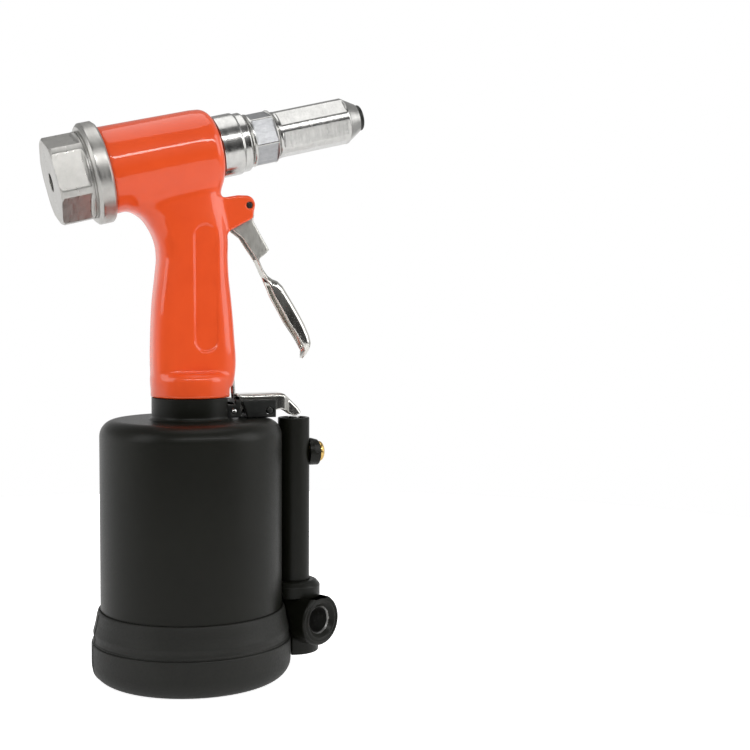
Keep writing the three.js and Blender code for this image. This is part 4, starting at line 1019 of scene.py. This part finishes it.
# ---- camera, floor and light ---------------------------------------------------------------------
def set_camera():
    azimuth, distance, height = math.radians(13.82), 0.66653, 0.18794
    pitch, yaw, roll = math.radians(3.46), math.radians(-7.7), math.radians(0.26)
    heading = azimuth - yaw
    place = Vector((-distance * math.sin(azimuth), -distance * math.cos(azimuth), height))
    flat = Vector((math.sin(heading), math.cos(heading), 0))
    forward = flat * math.cos(pitch) - Vector((0, 0, math.sin(pitch)))
    right = Vector((flat.y, -flat.x, 0))
    up = right.cross(forward)
    right2 = right * math.cos(roll) + up * math.sin(roll)
    up2 = up * math.cos(roll) - right * math.sin(roll)
    data = bpy.data.cameras.new("camera")
    data.sensor_width = 36
    data.lens = 36 * 1362.64 / 750
    data.clip_start = 0.01
    camera = bpy.data.objects.new("camera", data)
    turn = Matrix((right2, up2, -forward)).transposed()
    camera.matrix_world = Matrix.Translation(place) @ turn.to_4x4()
    bpy.context.scene.collection.objects.link(camera)
    bpy.context.scene.camera = camera


def softbox(name, place, aim, size, power, colour=(1, 1, 1)):
    data = bpy.data.lights.new(name, "AREA")
    data.shape = "RECTANGLE"
    data.size, data.size_y = size
    data.energy = power
    data.color = colour
    light = bpy.data.objects.new(name, data)
    light.location = place
    light.rotation_euler = (Vector(aim) - Vector(place)).to_track_quat("-Z", "Y").to_euler()
    bpy.context.scene.collection.objects.link(light)


def set_floor():
    points, faces = turned([(0, 0), (0, 0.25), (0, 0.5), (0, 0.62)], 96)
    mesh = bpy.data.meshes.new("floor")
    mesh.from_pydata(upright(points).tolist(), [], faces)
    mesh.validate()
    floor = bpy.data.objects.new("floor", mesh)
    bpy.context.scene.collection.objects.link(floor)
    glow = 0.36
    look = Look("pale_floor", Roughness=0.8, Specular_IOR_Level=0.1)
    look.to(look.ramp(look.noise(3, 2), (0.3, 0.90), (0.7, 0.92)), "Base Color")
    look.shader.inputs["Emission Color"].default_value = (1, 1, 1, 1)
    seen = look.node("ShaderNodeLightPath").outputs["Is Camera Ray"]
    look.to(look.maths("MULTIPLY_ADD", seen, 0.5, glow), "Emission Strength")
    mesh.materials.append(look.material)


class Sky:
    """The studio as the world: white sweep behind, dim ceiling, dark room on the near side."""

    def __init__(self):
        self.world = bpy.data.worlds.new("studio")
        self.world.use_nodes = True
        self.tree = self.world.node_tree
        self.tree.nodes.clear()
        bpy.context.scene.world = self.world

    def node(self, kind, **settings):
        n = self.tree.nodes.new(kind)
        for key, value in settings.items():
            setattr(n, key, value)
        return n

    def half(self, source):
        n = self.node("ShaderNodeMath", operation="MULTIPLY_ADD")
        n.inputs[1].default_value = n.inputs[2].default_value = 0.5
        self.tree.links.new(source, n.inputs[0])
        return n.outputs[0]

    def ramp(self, source, *stops):
        n = self.node("ShaderNodeValToRGB")
        while len(n.color_ramp.elements) < len(stops):
            n.color_ramp.elements.new(0.5)
        for e, (position, grey) in zip(n.color_ramp.elements, stops):
            e.position, e.color = position, (grey, grey, grey, 1)
        self.tree.links.new(source, n.inputs["Fac"])
        return n.outputs["Color"]

    def blend(self, factor, a, b):
        n = self.node("ShaderNodeMix", data_type="RGBA")
        self.tree.links.new(factor, n.inputs["Factor"])
        self.tree.links.new(a, n.inputs["A"])
        self.tree.links.new(b, n.inputs["B"])
        return n.outputs["Result"]


def set_world():
    sky = Sky()
    place = sky.node("ShaderNodeTexCoord").outputs["Generated"]
    parts = sky.node("ShaderNodeSeparateXYZ")
    sky.tree.links.new(place, parts.inputs[0])
    side, depth, height = (sky.half(parts.outputs[axis]) for axis in "XYZ")
    back = sky.ramp(height, (0.56, 1.0), (0.66, 0.42), (0.9, 0.30), (1.0, 0.22))
    near = sky.ramp(height, (0.48, 0.04), (0.53, 0.10), (0.60, 0.14), (0.8, 0.06), (1.0, 0.16))
    right = sky.ramp(height, (0.48, 0.5), (0.62, 0.75), (0.9, 0.3))
    total = sky.blend(sky.ramp(depth, (0.40, 0.0), (0.56, 1.0)), near, back)
    total = sky.blend(sky.ramp(side, (0.82, 0.0), (0.95, 1.0)), total, right)
    seen = sky.node("ShaderNodeBackground")
    seen.inputs["Color"].default_value = (1, 1, 1, 1)
    lit = sky.node("ShaderNodeBackground")
    sky.tree.links.new(total, lit.inputs["Color"])
    choose = sky.node("ShaderNodeMixShader")
    sky.tree.links.new(sky.node("ShaderNodeLightPath").outputs["Is Camera Ray"], choose.inputs[0])
    sky.tree.links.new(lit.outputs[0], choose.inputs[1])
    sky.tree.links.new(seen.outputs[0], choose.inputs[2])
    sky.tree.links.new(choose.outputs[0], sky.node("ShaderNodeOutputWorld").inputs["Surface"])


def set_light():
    softbox("strip_front", (0.05, -1.15, 0.86), (0, 0, 0.24), (1.9, 0.10), 8)
    softbox("box_left", (-1.2, -0.25, 0.70), (0, 0, 0.16), (0.6, 1.0), 4.5)
    softbox("box_right", (1.15, -0.55, 0.62), (0, 0, 0.15), (0.7, 1.0), 5.5)
    softbox("box_top", (0.1, 0.1, 1.45), (0, 0, 0.1), (1.0, 1.0), 4.5)


dress_cad()
build_cylinder()
build_boot()
build_handle()
build_end_cap()
build_nose()
build_trigger()
build_linkage()
build_valve()
set_camera()
set_floor()
set_world()
set_light()
bpy.context.scene.view_settings.view_transform = "Standard"
